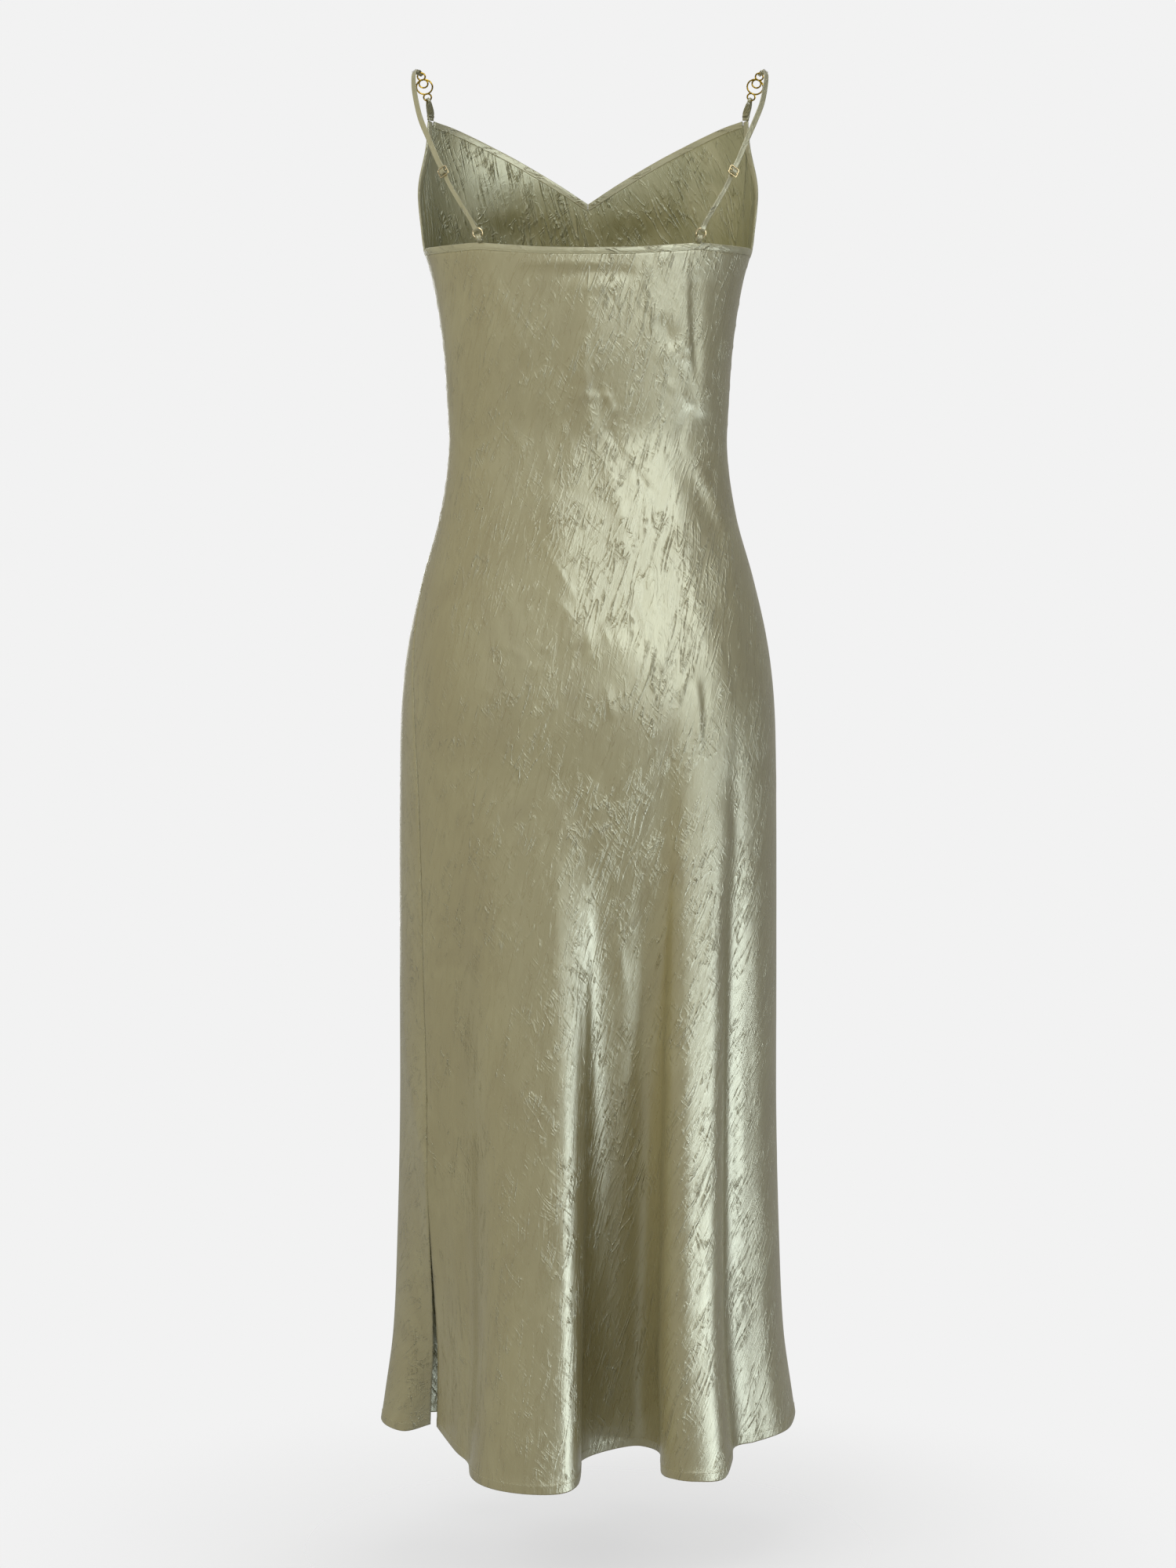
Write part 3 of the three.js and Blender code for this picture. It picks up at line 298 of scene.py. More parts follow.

# %% [markdown]
# ## Creases
# Satin shows its shape by its highlights, so the creases matter more than anything else here.
# A cloth simulation would put them wherever it liked. Instead each main crease is listed one by
# one: where it starts and ends across and down the dress, how far its middle bows sideways,
# how wide and how high it is, and how much narrower its right flank is than its left one. A
# negative height is a trough. Many small crinkles are then scattered from a fixed seed.

# %% Tables of the main creases
CREASE = "across down to_across to_down bow width height lean"
CREASES = {"back": table(CREASE, [
    (3, 196, 0, 310, -1, 18, 2.2, -0.25),
    (97, 205, 100, 320, 2, 9, 1.5, -0.3),
    (0, 300, -26, 380, 4, 18, 1.8, -0.25),
    (-36, 376, -16, 530, 2, 22, 3, -0.25),
    (76, 372, 114, 560, -5, 12, 1.6, -0.35),
    (-24, 522, 70, 540, 4, 22, 2.8, 0.1),
    (-30, 680, -24, 1195, 3, 16, 2.6, 0.3),
    (12, 700, 8, 1195, -2, 18, -1.9, -0.2),
    (32, 740, 28, 1150, 2, 12, 1.8, 0),
    (44, 740, 48, 1190, 3, 14, -2.4, 0.45),
    (76, 690, 74, 1190, 2, 12, 4.4, -0.1),
    (122, 700, 122, 1120, 1, 5, -2, 0),
    (-62, 190, 20, 192, 1, 5, 1.3, -0.3),
    (-30, 203, 42, 199, 2, 5, -1.2, 0.2),
    (-20, 214, 30, 210, 1, 5, 0.7, 0),
    (-84, 190, -48, 278, -3, 5, 0.9, 0.3),
    (-76, 214, -66, 236, 2, 4, 0.5, 0),
    (-5, 250, 8, 345, -4, 10, 1.4, 0.4),
    (14, 300, 24, 322, 0, 3.5, 0.6, 0),
    (18, 330, 68, 398, -5, 4, -0.9, 0.3),
    (26, 344, 42, 382, 1, 4, 0.6, 0),
    (10, 352, 34, 440, 4, 6, 0.8, 0.2),
    (88, 186, 96, 300, -5, 7, 1.5, 0.5),
    (96, 200, 90, 300, 3, 6, -1.1, 0),
    (62, 236, 72, 262, 2, 6, -1.1, 0),
    (72, 262, 92, 256, -2, 4, 0.7, 0),
    (58, 270, 94, 274, 2, 5, 0.6, 0),
    (64, 290, 92, 314, 2, 4, 0.7, -0.3),
    (92, 312, 80, 352, -2, 5, -0.8, 0.4),
    (82, 352, 98, 374, 2, 5, -0.5, 0),
    (78, 356, 122, 452, 6, 8, -1.2, 0.3),
    (86, 350, 128, 430, 4, 6, 0.9, 0.2),
    (94, 372, 136, 470, 5, 6, -0.8, 0),
    (102, 380, 130, 500, 8, 7, 0.9, 0),
    (104, 420, 118, 500, 3, 6, 0.7, 0.2),
    (-72, 324, -54, 352, -2, 4, 0.5, 0),
    (-60, 340, -50, 400, 3, 4.5, 0.5, 0.2),
    (-42, 330, -34, 402, 2, 4.5, 0.45, 0),
    (-26, 322, -12, 372, 2, 4.5, 0.5, 0),
    (-54, 408, -8, 488, -1, 3.4, 0.8, 0.2),
    (-57, 402, -30, 404, 3, 3.5, 0.5, 0),
    (-64, 402, -56, 398, 0, 3.5, 0.5, 0),
    (-52, 470, -4, 512, 3, 4, 0.7, 0.2),
    (-60, 462, -44, 474, 1, 3.5, 0.5, 0),
    (-80, 524, -52, 538, 2, 4, 0.8, 0.2),
    (-50, 526, -28, 530, 1, 4, 0.8, 0),
    (-66, 546, -30, 548, 2, 4, 0.5, 0),
    (-94, 560, -74, 575, 0, 4, 0.5, 0),
    (-4, 500, 2, 540, 1, 4, 0.8, 0),
    (12, 505, 20, 528, 0, 3.5, 0.6, 0),
    (22, 505, 28, 535, 1, 3.5, 0.6, 0),
    (44, 490, 52, 530, 2, 3.6, 0.7, 0),
    (52, 440, 58, 500, 1, 4, 0.6, 0.2),
    (16, 560, 22, 590, 0, 4, 0.6, 0),
    (93, 556, 96, 615, 2, 3.6, 1.1, 0),
    (101, 552, 103, 620, -1, 4, -1, 0),
    (112, 520, 124, 640, 6, 7, 0.9, 0.4),
    (132, 470, 146, 560, 4, 7, -0.8, 0),
    (24, 776, 30, 822, 1, 5, 0.8, 0),
    (-44, 640, -20, 700, 4, 10, 0.7, 0),
    (-120, 700, -96, 760, 3, 8, 0.8, 0.2),
    (-60, 900, -48, 960, 2, 8, 0.6, 0),
    (-90, 1010, -76, 1080, 2, 9, 0.7, 0),
    (-30, 980, -22, 1060, 2, 7, 0.6, 0.2),
    (50, 690, 60, 790, 3, 9, 0.7, 0),
    (66, 800, 72, 900, -3, 8, 0.7, 0),
    (2, 640, 14, 720, 2, 9, 0.9, 0.3),
    (118, 660, 122, 760, 2, 7, 0.8, 0.2),
    (140, 700, 146, 860, 3, 8, 0.8, 0),
    (136, 900, 142, 1010, -3, 8, 0.7, 0),
    (-134, 520, -128, 600, -3, 8, 0.7, 0),
    (-146, 760, -140, 860, 2, 8, 0.7, 0),
]), "front": table(CREASE, [
    (-96, 120, -20, 136, 6, 12, 1.3, 0.2),
    (90, 118, 18, 140, -6, 12, 1.2, 0.2),
    (-48, 150, 44, 158, 8, 9, 1.1, 0),
    (-100, 150, -52, 200, -6, 8, 1.1, 0.2),
    (104, 150, 60, 214, 6, 8, 1.2, 0.2),
    (-104, 190, -70, 300, 8, 10, 1.3, 0.3),
    (112, 200, 82, 310, -8, 10, 1.2, 0.3),
    (-20, 220, -34, 330, 4, 9, 0.9, 0),
    (26, 230, 38, 330, -3, 8, 0.9, 0),
    (-112, 330, -60, 430, 10, 7, 1.2, 0.3),
    (-98, 345, -30, 452, 8, 6, 0.9, 0.2),
    (110, 330, 66, 440, -8, 7, 1.2, 0.3),
    (92, 352, 24, 456, -6, 6, 0.9, 0.2),
    (-20, 360, -8, 440, 3, 7, -0.9, 0),
    (30, 380, 8, 470, -3, 7, 0.8, 0),
    (-60, 470, -40, 560, 4, 8, 0.9, 0),
    (70, 480, 46, 590, -6, 8, 0.9, 0.2),
    (-120, 500, -104, 600, 4, 8, 0.9, 0),
    (128, 520, 118, 640, -4, 8, 0.9, 0),
    (-10, 560, 2, 640, 3, 9, 0.8, 0),
    (-84, 700, -70, 820, 4, 9, 0.8, 0),
    (60, 720, 54, 840, -4, 9, 0.8, 0),
    (-20, 860, -12, 980, 3, 9, 0.7, 0),
    (110, 900, 116, 1010, 3, 8, 0.7, 0),
    (-120, 960, -126, 1060, -3, 8, 0.7, 0),
])}
print("creases placed by hand:", sum(len(rows["down"]) for rows in CREASES.values()))

# %% Height of the creases at each point of a panel
CREASE_STEPS = 10
CRINKLE = {
    "count": 620, "across": (-175, 175), "down": (120, 1200), "steepness": (78, 24),
    "length": (14, 46), "bow": 1.6, "width": (2.6, 5), "height": 0.05, "lean": (-0.4, 0.4),
}


def crease_height(across, down, crease):
    """Height of one crease at points of the cloth, which fades out towards its ends."""
    start = np.array([crease["across"], crease["down"]])
    end = np.array([crease["to_across"], crease["to_down"]])
    sideways = np.array([end[1] - start[1], start[0] - end[0]])
    sideways = sideways / np.linalg.norm(sideways)
    middle = (start + end) / 2 + sideways * crease["bow"] * 2
    height = np.zeros(across.shape)
    reach = 3.5 * crease["width"] + abs(crease["bow"])  # farther away it has no height left
    low = np.minimum(start, end) - reach
    high = np.maximum(start, end) + reach
    near = (across > low[0]) & (across < high[0]) & (down > low[1]) & (down < high[1])
    if not near.any():
        return height
    spot = np.stack([across[near], down[near]], axis=-1)
    t = np.linspace(0, 1, CREASE_STEPS + 1)[:, None]
    line = start * (1 - t) ** 2 + middle * 2 * t * (1 - t) + end * t ** 2
    best = np.full(len(spot), 1e9)
    side = np.zeros(len(spot))
    along = np.zeros(len(spot))
    for step in range(CREASE_STEPS):
        run = line[step + 1] - line[step]
        from_start = spot - line[step]
        share = np.clip(from_start @ run / (run @ run), 0, 1)
        off = from_start - share[:, None] * run
        distance = np.linalg.norm(off, axis=1)
        closer = distance < best
        best = np.where(closer, distance, best)
        side = np.where(closer, np.sign(off[:, 0] * run[1] - off[:, 1] * run[0]), side)
        along = np.where(closer, (step + share) / CREASE_STEPS, along)
    width = crease["width"] * (1 - crease["lean"] * side)
    fade = np.clip(4 * along * (1 - along), 0, 1) ** 0.6
    height[near] = crease["height"] * fade * np.exp(-(best / width) ** 2)
    return height


def all_creases(across, down, rows):
    total = np.zeros(across.shape)
    for index in range(len(rows["down"])):
        total += crease_height(across, down, {name: rows[name][index] for name in rows})
    return total


def crinkles(across, down, seed):
    """Many small creases, most of them steep, scattered over a panel from a fixed seed."""
    chance = np.random.default_rng(seed)
    total = np.zeros(across.shape)
    for _ in range(CRINKLE["count"]):
        x, level = chance.uniform(*CRINKLE["across"]), chance.uniform(*CRINKLE["down"])
        slope = math.radians(chance.normal(*CRINKLE["steepness"]))
        length = chance.uniform(*CRINKLE["length"])
        total += crease_height(across, down, {
            "across": x,
            "down": level,
            "to_across": x + length * math.cos(slope),
            "to_down": level + length * math.sin(slope),
            "bow": chance.normal(0, CRINKLE["bow"]),
            "width": chance.uniform(*CRINKLE["width"]),
            "height": chance.normal(0, CRINKLE["height"]),
            "lean": chance.uniform(*CRINKLE["lean"]),
        })
    return total


print("each crease is a curve of", CREASE_STEPS, "straight steps")

# %% [markdown]
# ## Edges
# The bindings and the tops of the panels follow the same four edges. An edge is a row of
# places on the body, each an angle and a level. Moving the row a few millimetres into the
# cloth gives the line where the binding ends, and the line where the panel is tucked under it.

# %% Moving an edge into the cloth
BINDING_HEIGHT = 6.2
TUCK = 4.4  # how far below the garment's edge a panel starts, inside its binding
NECK_LIMIT = 0.15  # half of the seam at the V's point


def inset(angle, down, distance):
    """An edge of the right half, moved into the cloth by a distance."""
    at = body_point(angle, down)
    along = unit(np.gradient(at, axis=0))
    into = -unit(np.cross(cloth_normal(angle, down, body_point), along)) * distance
    round_it = (body_point(angle + 0.05, down) - at) / 0.05
    fall = (body_point(angle, down + 0.5) - at) / 0.5
    rr, ff, rf = ((a * b).sum(-1) for a, b in ((round_it, round_it), (fall, fall), (round_it, fall)))
    ro, fo = (into * round_it).sum(-1), (into * fall).sum(-1)
    scale = rr * ff - rf * rf
    return angle + (ro * ff - fo * rf) / scale, down + (fo * rr - ro * rf) / scale


def armhole_edge(count=160):
    """Right armhole, from the side seam up to the peak."""
    down = np.linspace(ARMHOLE_EDGE["down"][-1], ARMHOLE_EDGE["down"][0], count)
    forward = read(ARMHOLE_EDGE, "down", "forward", down)
    angle = np.zeros(count)
    for _ in range(40):
        angle += (forward - body_point(angle, down)[:, 1]) * 0.3
    return angle, down


def neck_edge(first, count=200):
    """Right side of the V neck, from its outer end at `first` mm across to the middle."""
    across = np.linspace(first, 0, count)
    down = read(NECK_EDGE, "across", "down", across)
    half = read(SECTIONS, "down", "half", down)
    cos = np.clip(across / half, 0, 1) ** (SQUARENESS / 2)
    return np.degrees(np.arccos(cos)), down


armhole = armhole_edge()
neck = neck_edge(143)
armhole_tuck, neck_tuck = inset(*armhole, TUCK), inset(*neck, TUCK)
lengths = [round(float(walked_along(body_point(*edge))[-1]), 1) for edge in (armhole, neck)]
print("armhole and neck edges, mm:", lengths)

# %% Tops of the two panels


def along_edge(edge, at):
    """Level of an edge at an angle, carried on in a straight line past both of its ends."""
    order = np.argsort(edge[0])
    angle, down = edge[0][order], edge[1][order]
    level = np.interp(at, angle, down)
    first = (down[8] - down[0]) / (angle[8] - angle[0])
    last = (down[-1] - down[-9]) / (angle[-1] - angle[-9])
    level += np.minimum(at - angle[0], 0) * first
    return level + np.maximum(at - angle[-1], 0) * last


def front_top(angle):
    """Level where the front panel starts at an angle from 0 to 180."""
    folded = np.minimum(angle, 180 - angle)
    return np.maximum(along_edge(armhole_tuck, folded), along_edge(neck_tuck, folded))


def back_top(turn, below=TUCK):
    down = np.full(turn.shape, BACK_EDGE["down"][0])
    for _ in range(4):
        across = np.abs(body_point(turn - bias_shift(turn, down), down)[..., 0])
        down = read(BACK_EDGE, "across", "down", across)
    return down + below


def panel_top(turn, side):
    if side == "back":
        return back_top(turn)
    angle = turn - bias_shift(turn, np.full(turn.shape, 100.0)) - 360
    return front_top(np.clip(angle, -8, 188))


print("front panel starts at", front_top(np.array([0, 90])).round(1), "mm down, side and middle")

# %% [markdown]
# ## Panels
# A panel is a grid. Its columns are places round the hem, close together where the top edge is
# steep, and its rows are levels, close together where the creases are fine and at the hem's
# fold. The grid takes the form of the solid, then its creases, then Solidify turns it into
# cloth, with its own material on the inside.

# %% Columns and rows of a panel
SEAM_GAP = 0.015  # degrees left free at a side seam
COLUMNS = {"front": 172, "back": 196}
COLUMN_TRIES = 3000  # places round the hem from which the columns are chosen
SPREAD = {"top": 0.5, "waist": 0.6, "hem": 0.5}  # how much each level decides on the columns
HEM_FOLD = 8  # height of the hem's fold
ROW_COUNTS = {"front": (42, 128, 74, 9), "back": (5, 140, 82, 9)}
LEVELS = {"top": 196, "waist": 420, "hips": 640}


def panel_columns(side):
    """Turns of a panel's columns, from one side seam to the other."""
    first, last = {
        "back": (SEAM_TURN["left"], SEAM_TURN["right"]),
        "front": (SEAM_TURN["right"], SEAM_TURN["left"] + 360),
    }[side]
    turn = np.linspace(first + SEAM_GAP, last - SEAM_GAP, COLUMN_TRIES)
    top = panel_top(turn, side)
    levels = {"top": top, "waist": LEVELS["waist"] + 0 * top, "hem": hem_down(turn)}
    share = np.zeros(len(turn))
    for name, level in levels.items():
        walked = walked_along(cloth_point(turn, level))
        share += SPREAD[name] * walked / walked[-1]
    columns = np.interp(np.linspace(0, share[-1], COLUMNS[side]), share, turn)
    if side == "front":
        middle = len(turn) // 2
        half = turn[:middle][np.argmin(top[:middle])], turn[middle:][np.argmin(top[middle:])]
        point = turn[500:-500][np.argmax(top[500:-500])]
        for corner in (*half, point):
            columns[np.argmin(np.abs(columns - corner))] = corner
    return columns


def panel_levels(turn, side):
    """Levels of a panel's rows: one row of the result for each column."""
    counts = ROW_COUNTS[side]
    top, foot = panel_top(turn, side)[:, None], hem_down(turn)[:, None]
    stops = [top, LEVELS["top"] + 0 * top, LEVELS["hips"] + 0 * top, foot - HEM_FOLD - 1, foot]
    rows = [
        low + (high - low) * np.linspace(0, 1, count, endpoint=False)
        for low, high, count in zip(stops, stops[1:], counts)
    ]
    return np.concatenate([*rows, foot], axis=1)


panels = {}
for side in ("back", "front"):
    columns = panel_columns(side)
    down = panel_levels(columns, side)
    panels[side] = {"turn": np.repeat(columns[:, None], down.shape[1], axis=1), "down": down}
    print(side, "grid:", down.shape)

# %% Creases, seams and hem of a panel
SEAM = {"dip": 0.5, "half": 1.6}
HEM_RISE = 0.35  # the folded hem is this much thicker
FADE = {"hem": 40, "top": 8}  # creases fade out over these lengths
CRINKLE_SEED = {"back": 3, "front": 8}
PUCKER = {
    "from": 170, "to": 1230, "apart": (7, 22), "reach": (5, 13), "height": (0.15, 0.6),
    "tilt": (-0.6, 0.6), "width": (1.8, 3.2),
}


def distance_in(points):
    """Length along each row from its two ends, as for a tape measure laid round the dress."""
    steps = np.linalg.norm(np.diff(points, axis=0), axis=2)
    walked = np.concatenate([np.zeros((1, points.shape[1])), np.cumsum(steps, axis=0)])
    return walked, walked[-1] - walked


def seam_pucker(from_seam, down, seed):
    """Small puckers beside a seam, a few millimetres to two centimetres apart."""
    chance = np.random.default_rng(seed)
    total = np.zeros(down.shape)
    level = PUCKER["from"]
    while level < PUCKER["to"]:
        level += chance.uniform(*PUCKER["apart"])
        reach, height = chance.uniform(*PUCKER["reach"]), chance.uniform(*PUCKER["height"])
        tilt = chance.uniform(*PUCKER["tilt"])
        off = (down - level - tilt * from_seam) / chance.uniform(*PUCKER["width"])
        near = np.abs(off) < 4
        total[near] += height * np.exp(-off[near] ** 2 - (from_seam[near] / reach) ** 2)
    return total


def relief(side, points, turn, down):
    walked, left = distance_in(points)
    from_seam = np.minimum(walked, left)
    height = all_creases(points[..., 0], down, CREASES[side])
    height += crinkles(points[..., 0], down, CRINKLE_SEED[side])
    height += seam_pucker(walked, down, 11) + seam_pucker(left, down, 12)
    height -= SEAM["dip"] * np.exp(-(from_seam / SEAM["half"]) ** 2)
    above_hem, below_top = hem_down(turn) - down, down - panel_top(turn, side)
    fade = np.clip(above_hem / FADE["hem"], 0.25, 1) * np.clip(below_top / FADE["top"], 0, 1)
    step = 1 / (1 + np.exp(np.clip((above_hem - HEM_FOLD) * 2, -30, 30)))
    return height * fade + HEM_RISE * step


for side, panel in panels.items():
    points = cloth_point(panel["turn"], panel["down"])
    panel["normal"] = cloth_normal(panel["turn"], panel["down"])
    panel["height"] = relief(side, points, panel["turn"], panel["down"])
    panel["points"] = points + panel["normal"] * panel["height"][..., None]
    print(side, "creases reach", panel["height"].min().round(2), panel["height"].max().round(2))

# %% [markdown]
# ## Materials
# Colours are given as a screen shows them, and one function turns them into the linear values
# that the renderer wants. One more adds a node with its settings and its links.

# %% Helpers for materials


def linear(hex_colour):
    """Linear colour from an sRGB hex value such as #8f8a68."""
    parts = [int(hex_colour[i:i + 2], 16) / 255 for i in (1, 3, 5)]
    return (*[c / 12.92 if c <= 0.04045 else ((c + 0.055) / 1.055) ** 2.4 for c in parts], 1)


def add(tree, kind, settings=None, values=None, links=None):
    """A new node: its settings, the values of its inputs, and the sockets that feed them."""
    node = tree.nodes.new(kind)
    for name, value in (settings or {}).items():
        setattr(node, name, value)
    for name, value in (values or {}).items():
        node.inputs[name].default_value = value
    for name, socket in (links or {}).items():
        tree.links.new(socket, node.inputs[name])
    return node


def new_material(name):
    material = bpy.data.materials.new(name)
    material.use_nodes = True
    tree = material.node_tree
    tree.nodes.clear()
    return material, tree


def finish_material(tree, shader):
    add(tree, "ShaderNodeOutputMaterial", links={"Surface": shader.outputs[0]})


def colour_ramp(tree, fac, stops):
    ramp = add(tree, "ShaderNodeValToRGB", links={"Fac": fac})
    elements = ramp.color_ramp.elements
    while len(elements) < len(stops):
        elements.new(0.5)
    for element, (place, colour) in zip(elements, stops):
        element.position = place
        element.color = linear(colour)
    return ramp.outputs["Color"]


print("khaki in linear light:", [round(c, 3) for c in linear("#8f8a68")])

# %% [markdown]
# The cloth is polyester satin, crinkled in the making. Its long floats of bright yarn lie side
# by side, so it shines like silk across them, while crinkles break the shine into short, thin
# lines. A bias cut turns the yarns 45 degrees. The surface's own map is in metres, so pattern
# scales come from real sizes: yarns are drawn every 0.7 mm, coarser than real so that they
# show, and crinkles lie 7 to 8 mm apart and run 3.5 to 6 times as far.

# %% Satin
YARN = 0.7 * MM
BANDS = 3.2  # a wave node of scale 1 draws this many bands in each unit
BIAS_TURN = math.radians(45)
PATTERNS = {
    # size across in mm, how many times as long, turn in radians, detail, kind, place
    "clouds": (60, 2.0, 0.3, 3, "FBM", 3.0),
    "streaks": (5, 6.0, 0.25, 3, "FBM", 1.0),
    "lines": (8, 6.0, 0.32, 4, "RIDGED_MULTIFRACTAL", 2.0),
    "forks": (7, 3.5, -0.6, 3, "RIDGED_MULTIFRACTAL", 5.0),
    "grain": (1.3, 9.0, 0.3, 2, "FBM", 7.0),
    "patches": (38, 1.6, 0.5, 2, "FBM", 9.0),
}
SHARPNESS = 4.0  # a high power leaves only the thin tops of the ridges
GRAIN_HEIGHT, YARN_HEIGHT = 0.13 * MM, 0.01 * MM


def stretched_noise(tree, coordinates, size, length, turn, detail, kind, place):
    """Noise with features `size` mm wide and `length` times as long, turned by `turn`."""
    values = {"Scale": 1.0, "Detail": detail, "Roughness": 0.6, "Distortion": 0.9}
    if kind != "FBM":
        values.update({"Offset": 1.0, "Gain": 1.6})
    turned = add(tree, "ShaderNodeMapping", {"vector_type": "POINT"}, {
        "Rotation": (0, 0, turn), "Location": (place, place, place),
    }, {"Vector": coordinates})
    spread = add(tree, "ShaderNodeMapping", {"vector_type": "POINT"}, {
        "Scale": (1 / (size * MM), 1 / (size * MM * length), 1),
    }, {"Vector": turned.outputs[0]})
    settings = {"noise_dimensions": "2D", "noise_type": kind, "normalize": kind == "FBM"}
    noise = add(tree, "ShaderNodeTexNoise", settings, values, {"Vector": spread.outputs[0]})
    return noise.outputs[0]


def mixed(tree, first, second, share):
    node = add(tree, "ShaderNodeMix", {"data_type": "FLOAT"}, {"Factor": share})
    tree.links.new(first, node.inputs[2])
    tree.links.new(second, node.inputs[3])
    return node.outputs[0]


def worked_out(tree, operation, first, second):
    """Result of an operation on two inputs, each a socket or a number."""
    node = add(tree, "ShaderNodeMath", {"operation": operation})
    for place, value in enumerate((first, second)):
        if isinstance(value, float):
            node.inputs[place].default_value = value
        else:
            tree.links.new(value, node.inputs[place])
    return node.outputs[0]


def ranged(tree, value, low, high, to_low, to_high):
    """A socket's range from low to high, spread over another range."""
    values = {"From Min": low, "From Max": high, "To Min": to_low, "To Max": to_high}
    return add(tree, "ShaderNodeMapRange", {}, values, {"Value": value}).outputs[0]


def bump(tree, height, distance, normal=None, strength=1.0):
    links = {"Height": height, "Normal": normal} if normal else {"Height": height}
    values = {"Strength": strength, "Distance": distance}
    return add(tree, "ShaderNodeBump", {}, values, links).outputs[0]


def satin_material(name, colours, roughness, crinkle, shine):
    """Satin in a range of three close colours, with crinkles of the given height in metres."""
    material, tree = new_material(name)
    uv = add(tree, "ShaderNodeUVMap", {"uv_map": "cloth"}).outputs[0]
    noise = {key: stretched_noise(tree, uv, *row) for key, row in PATTERNS.items()}
    tone = mixed(tree, noise["clouds"], noise["streaks"], 0.35)
    ridges = mixed(tree, noise["lines"], noise["forks"], 0.35)
    where = ranged(tree, noise["patches"], 0.4, 0.64, 0.16, 1.0)
    height = worked_out(tree, "MULTIPLY", worked_out(tree, "POWER", ridges, SHARPNESS), where)
    crinkled = bump(tree, noise["grain"], GRAIN_HEIGHT, bump(tree, height, crinkle))
    turned = add(tree, "ShaderNodeMapping", {"vector_type": "POINT"}, {
        "Rotation": (0, 0, BIAS_TURN),
    }, {"Vector": uv})
    yarn = add(tree, "ShaderNodeTexWave", {"bands_direction": "X", "wave_profile": "SIN"}, {
        "Scale": 1 / (YARN * BANDS), "Distortion": 0.4, "Detail": 1.0,
    }, {"Vector": turned.outputs[0]})
    shader = add(tree, "ShaderNodeBsdfPrincipled", {}, {
        "IOR": 1.8,
        "Specular IOR Level": shine,
        "Specular Tint": linear("#f2fff1"),
        "Sheen Weight": 0.04,
        "Sheen Roughness": 0.4,
        "Sheen Tint": linear("#c8cbb4"),
        "Anisotropic": 0.3,
    }, {
        "Base Color": colour_ramp(tree, tone, list(zip((0.3, 0.5, 0.7), colours))),
        "Roughness": ranged(tree, noise["streaks"], 0.3, 0.7, roughness - 0.03, roughness + 0.04),
        "Normal": bump(tree, yarn.outputs[1], YARN_HEIGHT, crinkled),
    })
    finish_material(tree, shader)
    return material


satin = satin_material(
    "crinkled_polyester_satin", ("#867a53", "#8c8159", "#938961"), 0.29, 0.06 * MM, 0.85)
# The underside of satin shows the short side of the floats: duller, greener and darker.
satin_inside = satin_material(
    "crinkled_satin_underside", ("#7c764f", "#8a845b", "#9a936b"), 0.3, 0.12 * MM, 0.7)
# The strips are cut from the same cloth, pressed flat, so that they shine more evenly.
satin_strip = satin_material(
    "folded_satin_strip", ("#8e8763", "#99916c", "#a39d78"), 0.34, 0.08 * MM, 0.8)
print("cloth materials:", satin.name, satin_inside.name, satin_strip.name)

# %% [markdown]
# The fittings are bent brass wire with a thin gold plate. The links have an antique finish,
# dark in one place and bright where the wire is rubbed. The sliders and rings have a pale,
# light gold. Thread is twisted polyester, a little lighter than the cloth in the stitches and
# a dark olive in the bar tacks that hold the straps.

# %% Gold plate and thread
GRAIN_DEPTH = 0.05 * MM


def grained_material(name, grain, colours, strength, settings, gloss=None):
    """Material with one grain, of a scale and a detail, in its colour, bump and perhaps gloss."""
    material, tree = new_material(name)
    place = add(tree, "ShaderNodeTexCoord").outputs["Object"]
    values = dict(zip(("Scale", "Detail"), grain))
    noise = add(tree, "ShaderNodeTexNoise", {}, values, {"Vector": place}).outputs[0]
    links = {
        "Base Color": colour_ramp(tree, noise, colours),
        "Normal": bump(tree, noise, GRAIN_DEPTH, None, strength),
    }
    if gloss:
        links["Roughness"] = ranged(tree, noise, 0.0, 1.0, *gloss)
    shader = add(tree, "ShaderNodeBsdfPrincipled", {}, settings, links)
    finish_material(tree, shader)
    return material


def gold_plate(name, dark, bright):
    colours = [(0.35, dark), (0.62, bright)]
    return grained_material(name, (700.0, 3.0), colours, 0.5, {"Metallic": 1.0}, (0.24, 0.36))


def thread_material(name, dark, bright):
    colours = [(0.35, dark), (0.65, bright)]
    settings = {"Roughness": 0.45, "Sheen Weight": 0.2}
    return grained_material(name, (2500.0, 2.0), colours, 0.6, settings)


antique_gold = gold_plate("antique_gold_plate", "#5e4a12", "#d8b548")
pale_gold = gold_plate("pale_gold_plate", "#c9b583", "#eadcb4")
thread = thread_material("twisted_polyester_thread", "#a39d78", "#bdb892")
tack_thread = thread_material("olive_polyester_thread", "#5d5736", "#79734c")
print("metal and thread:", antique_gold.name, pale_gold.name, thread.name, tack_thread.name)

# %% Making a piece from points


def new_piece(name, points, faces, materials, uv=None, replaces=()):
    """A smooth mesh object from points in millimetres. uv gives each point's place on a map."""
    mesh = bpy.data.meshes.new(name)
    mesh.from_pydata((np.asarray(points).reshape(-1, 3) * MM).tolist(), [], faces)
    for material in materials:
        mesh.materials.append(material)
    if uv is not None:
        layer = mesh.uv_layers.new(name="cloth")
        corners = np.zeros(len(mesh.loops), dtype=np.int32)
        mesh.loops.foreach_get("vertex_index", corners)
        flat = np.asarray(uv).reshape(-1, 2) * MM
        layer.data.foreach_set("uv", flat[corners].ravel())
    mesh.shade_smooth()
    piece = bpy.data.objects.new(name, mesh)
    bpy.context.scene.collection.objects.link(piece)
    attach(piece, "root")
    if replaces:
        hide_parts(*replaces)
    return piece


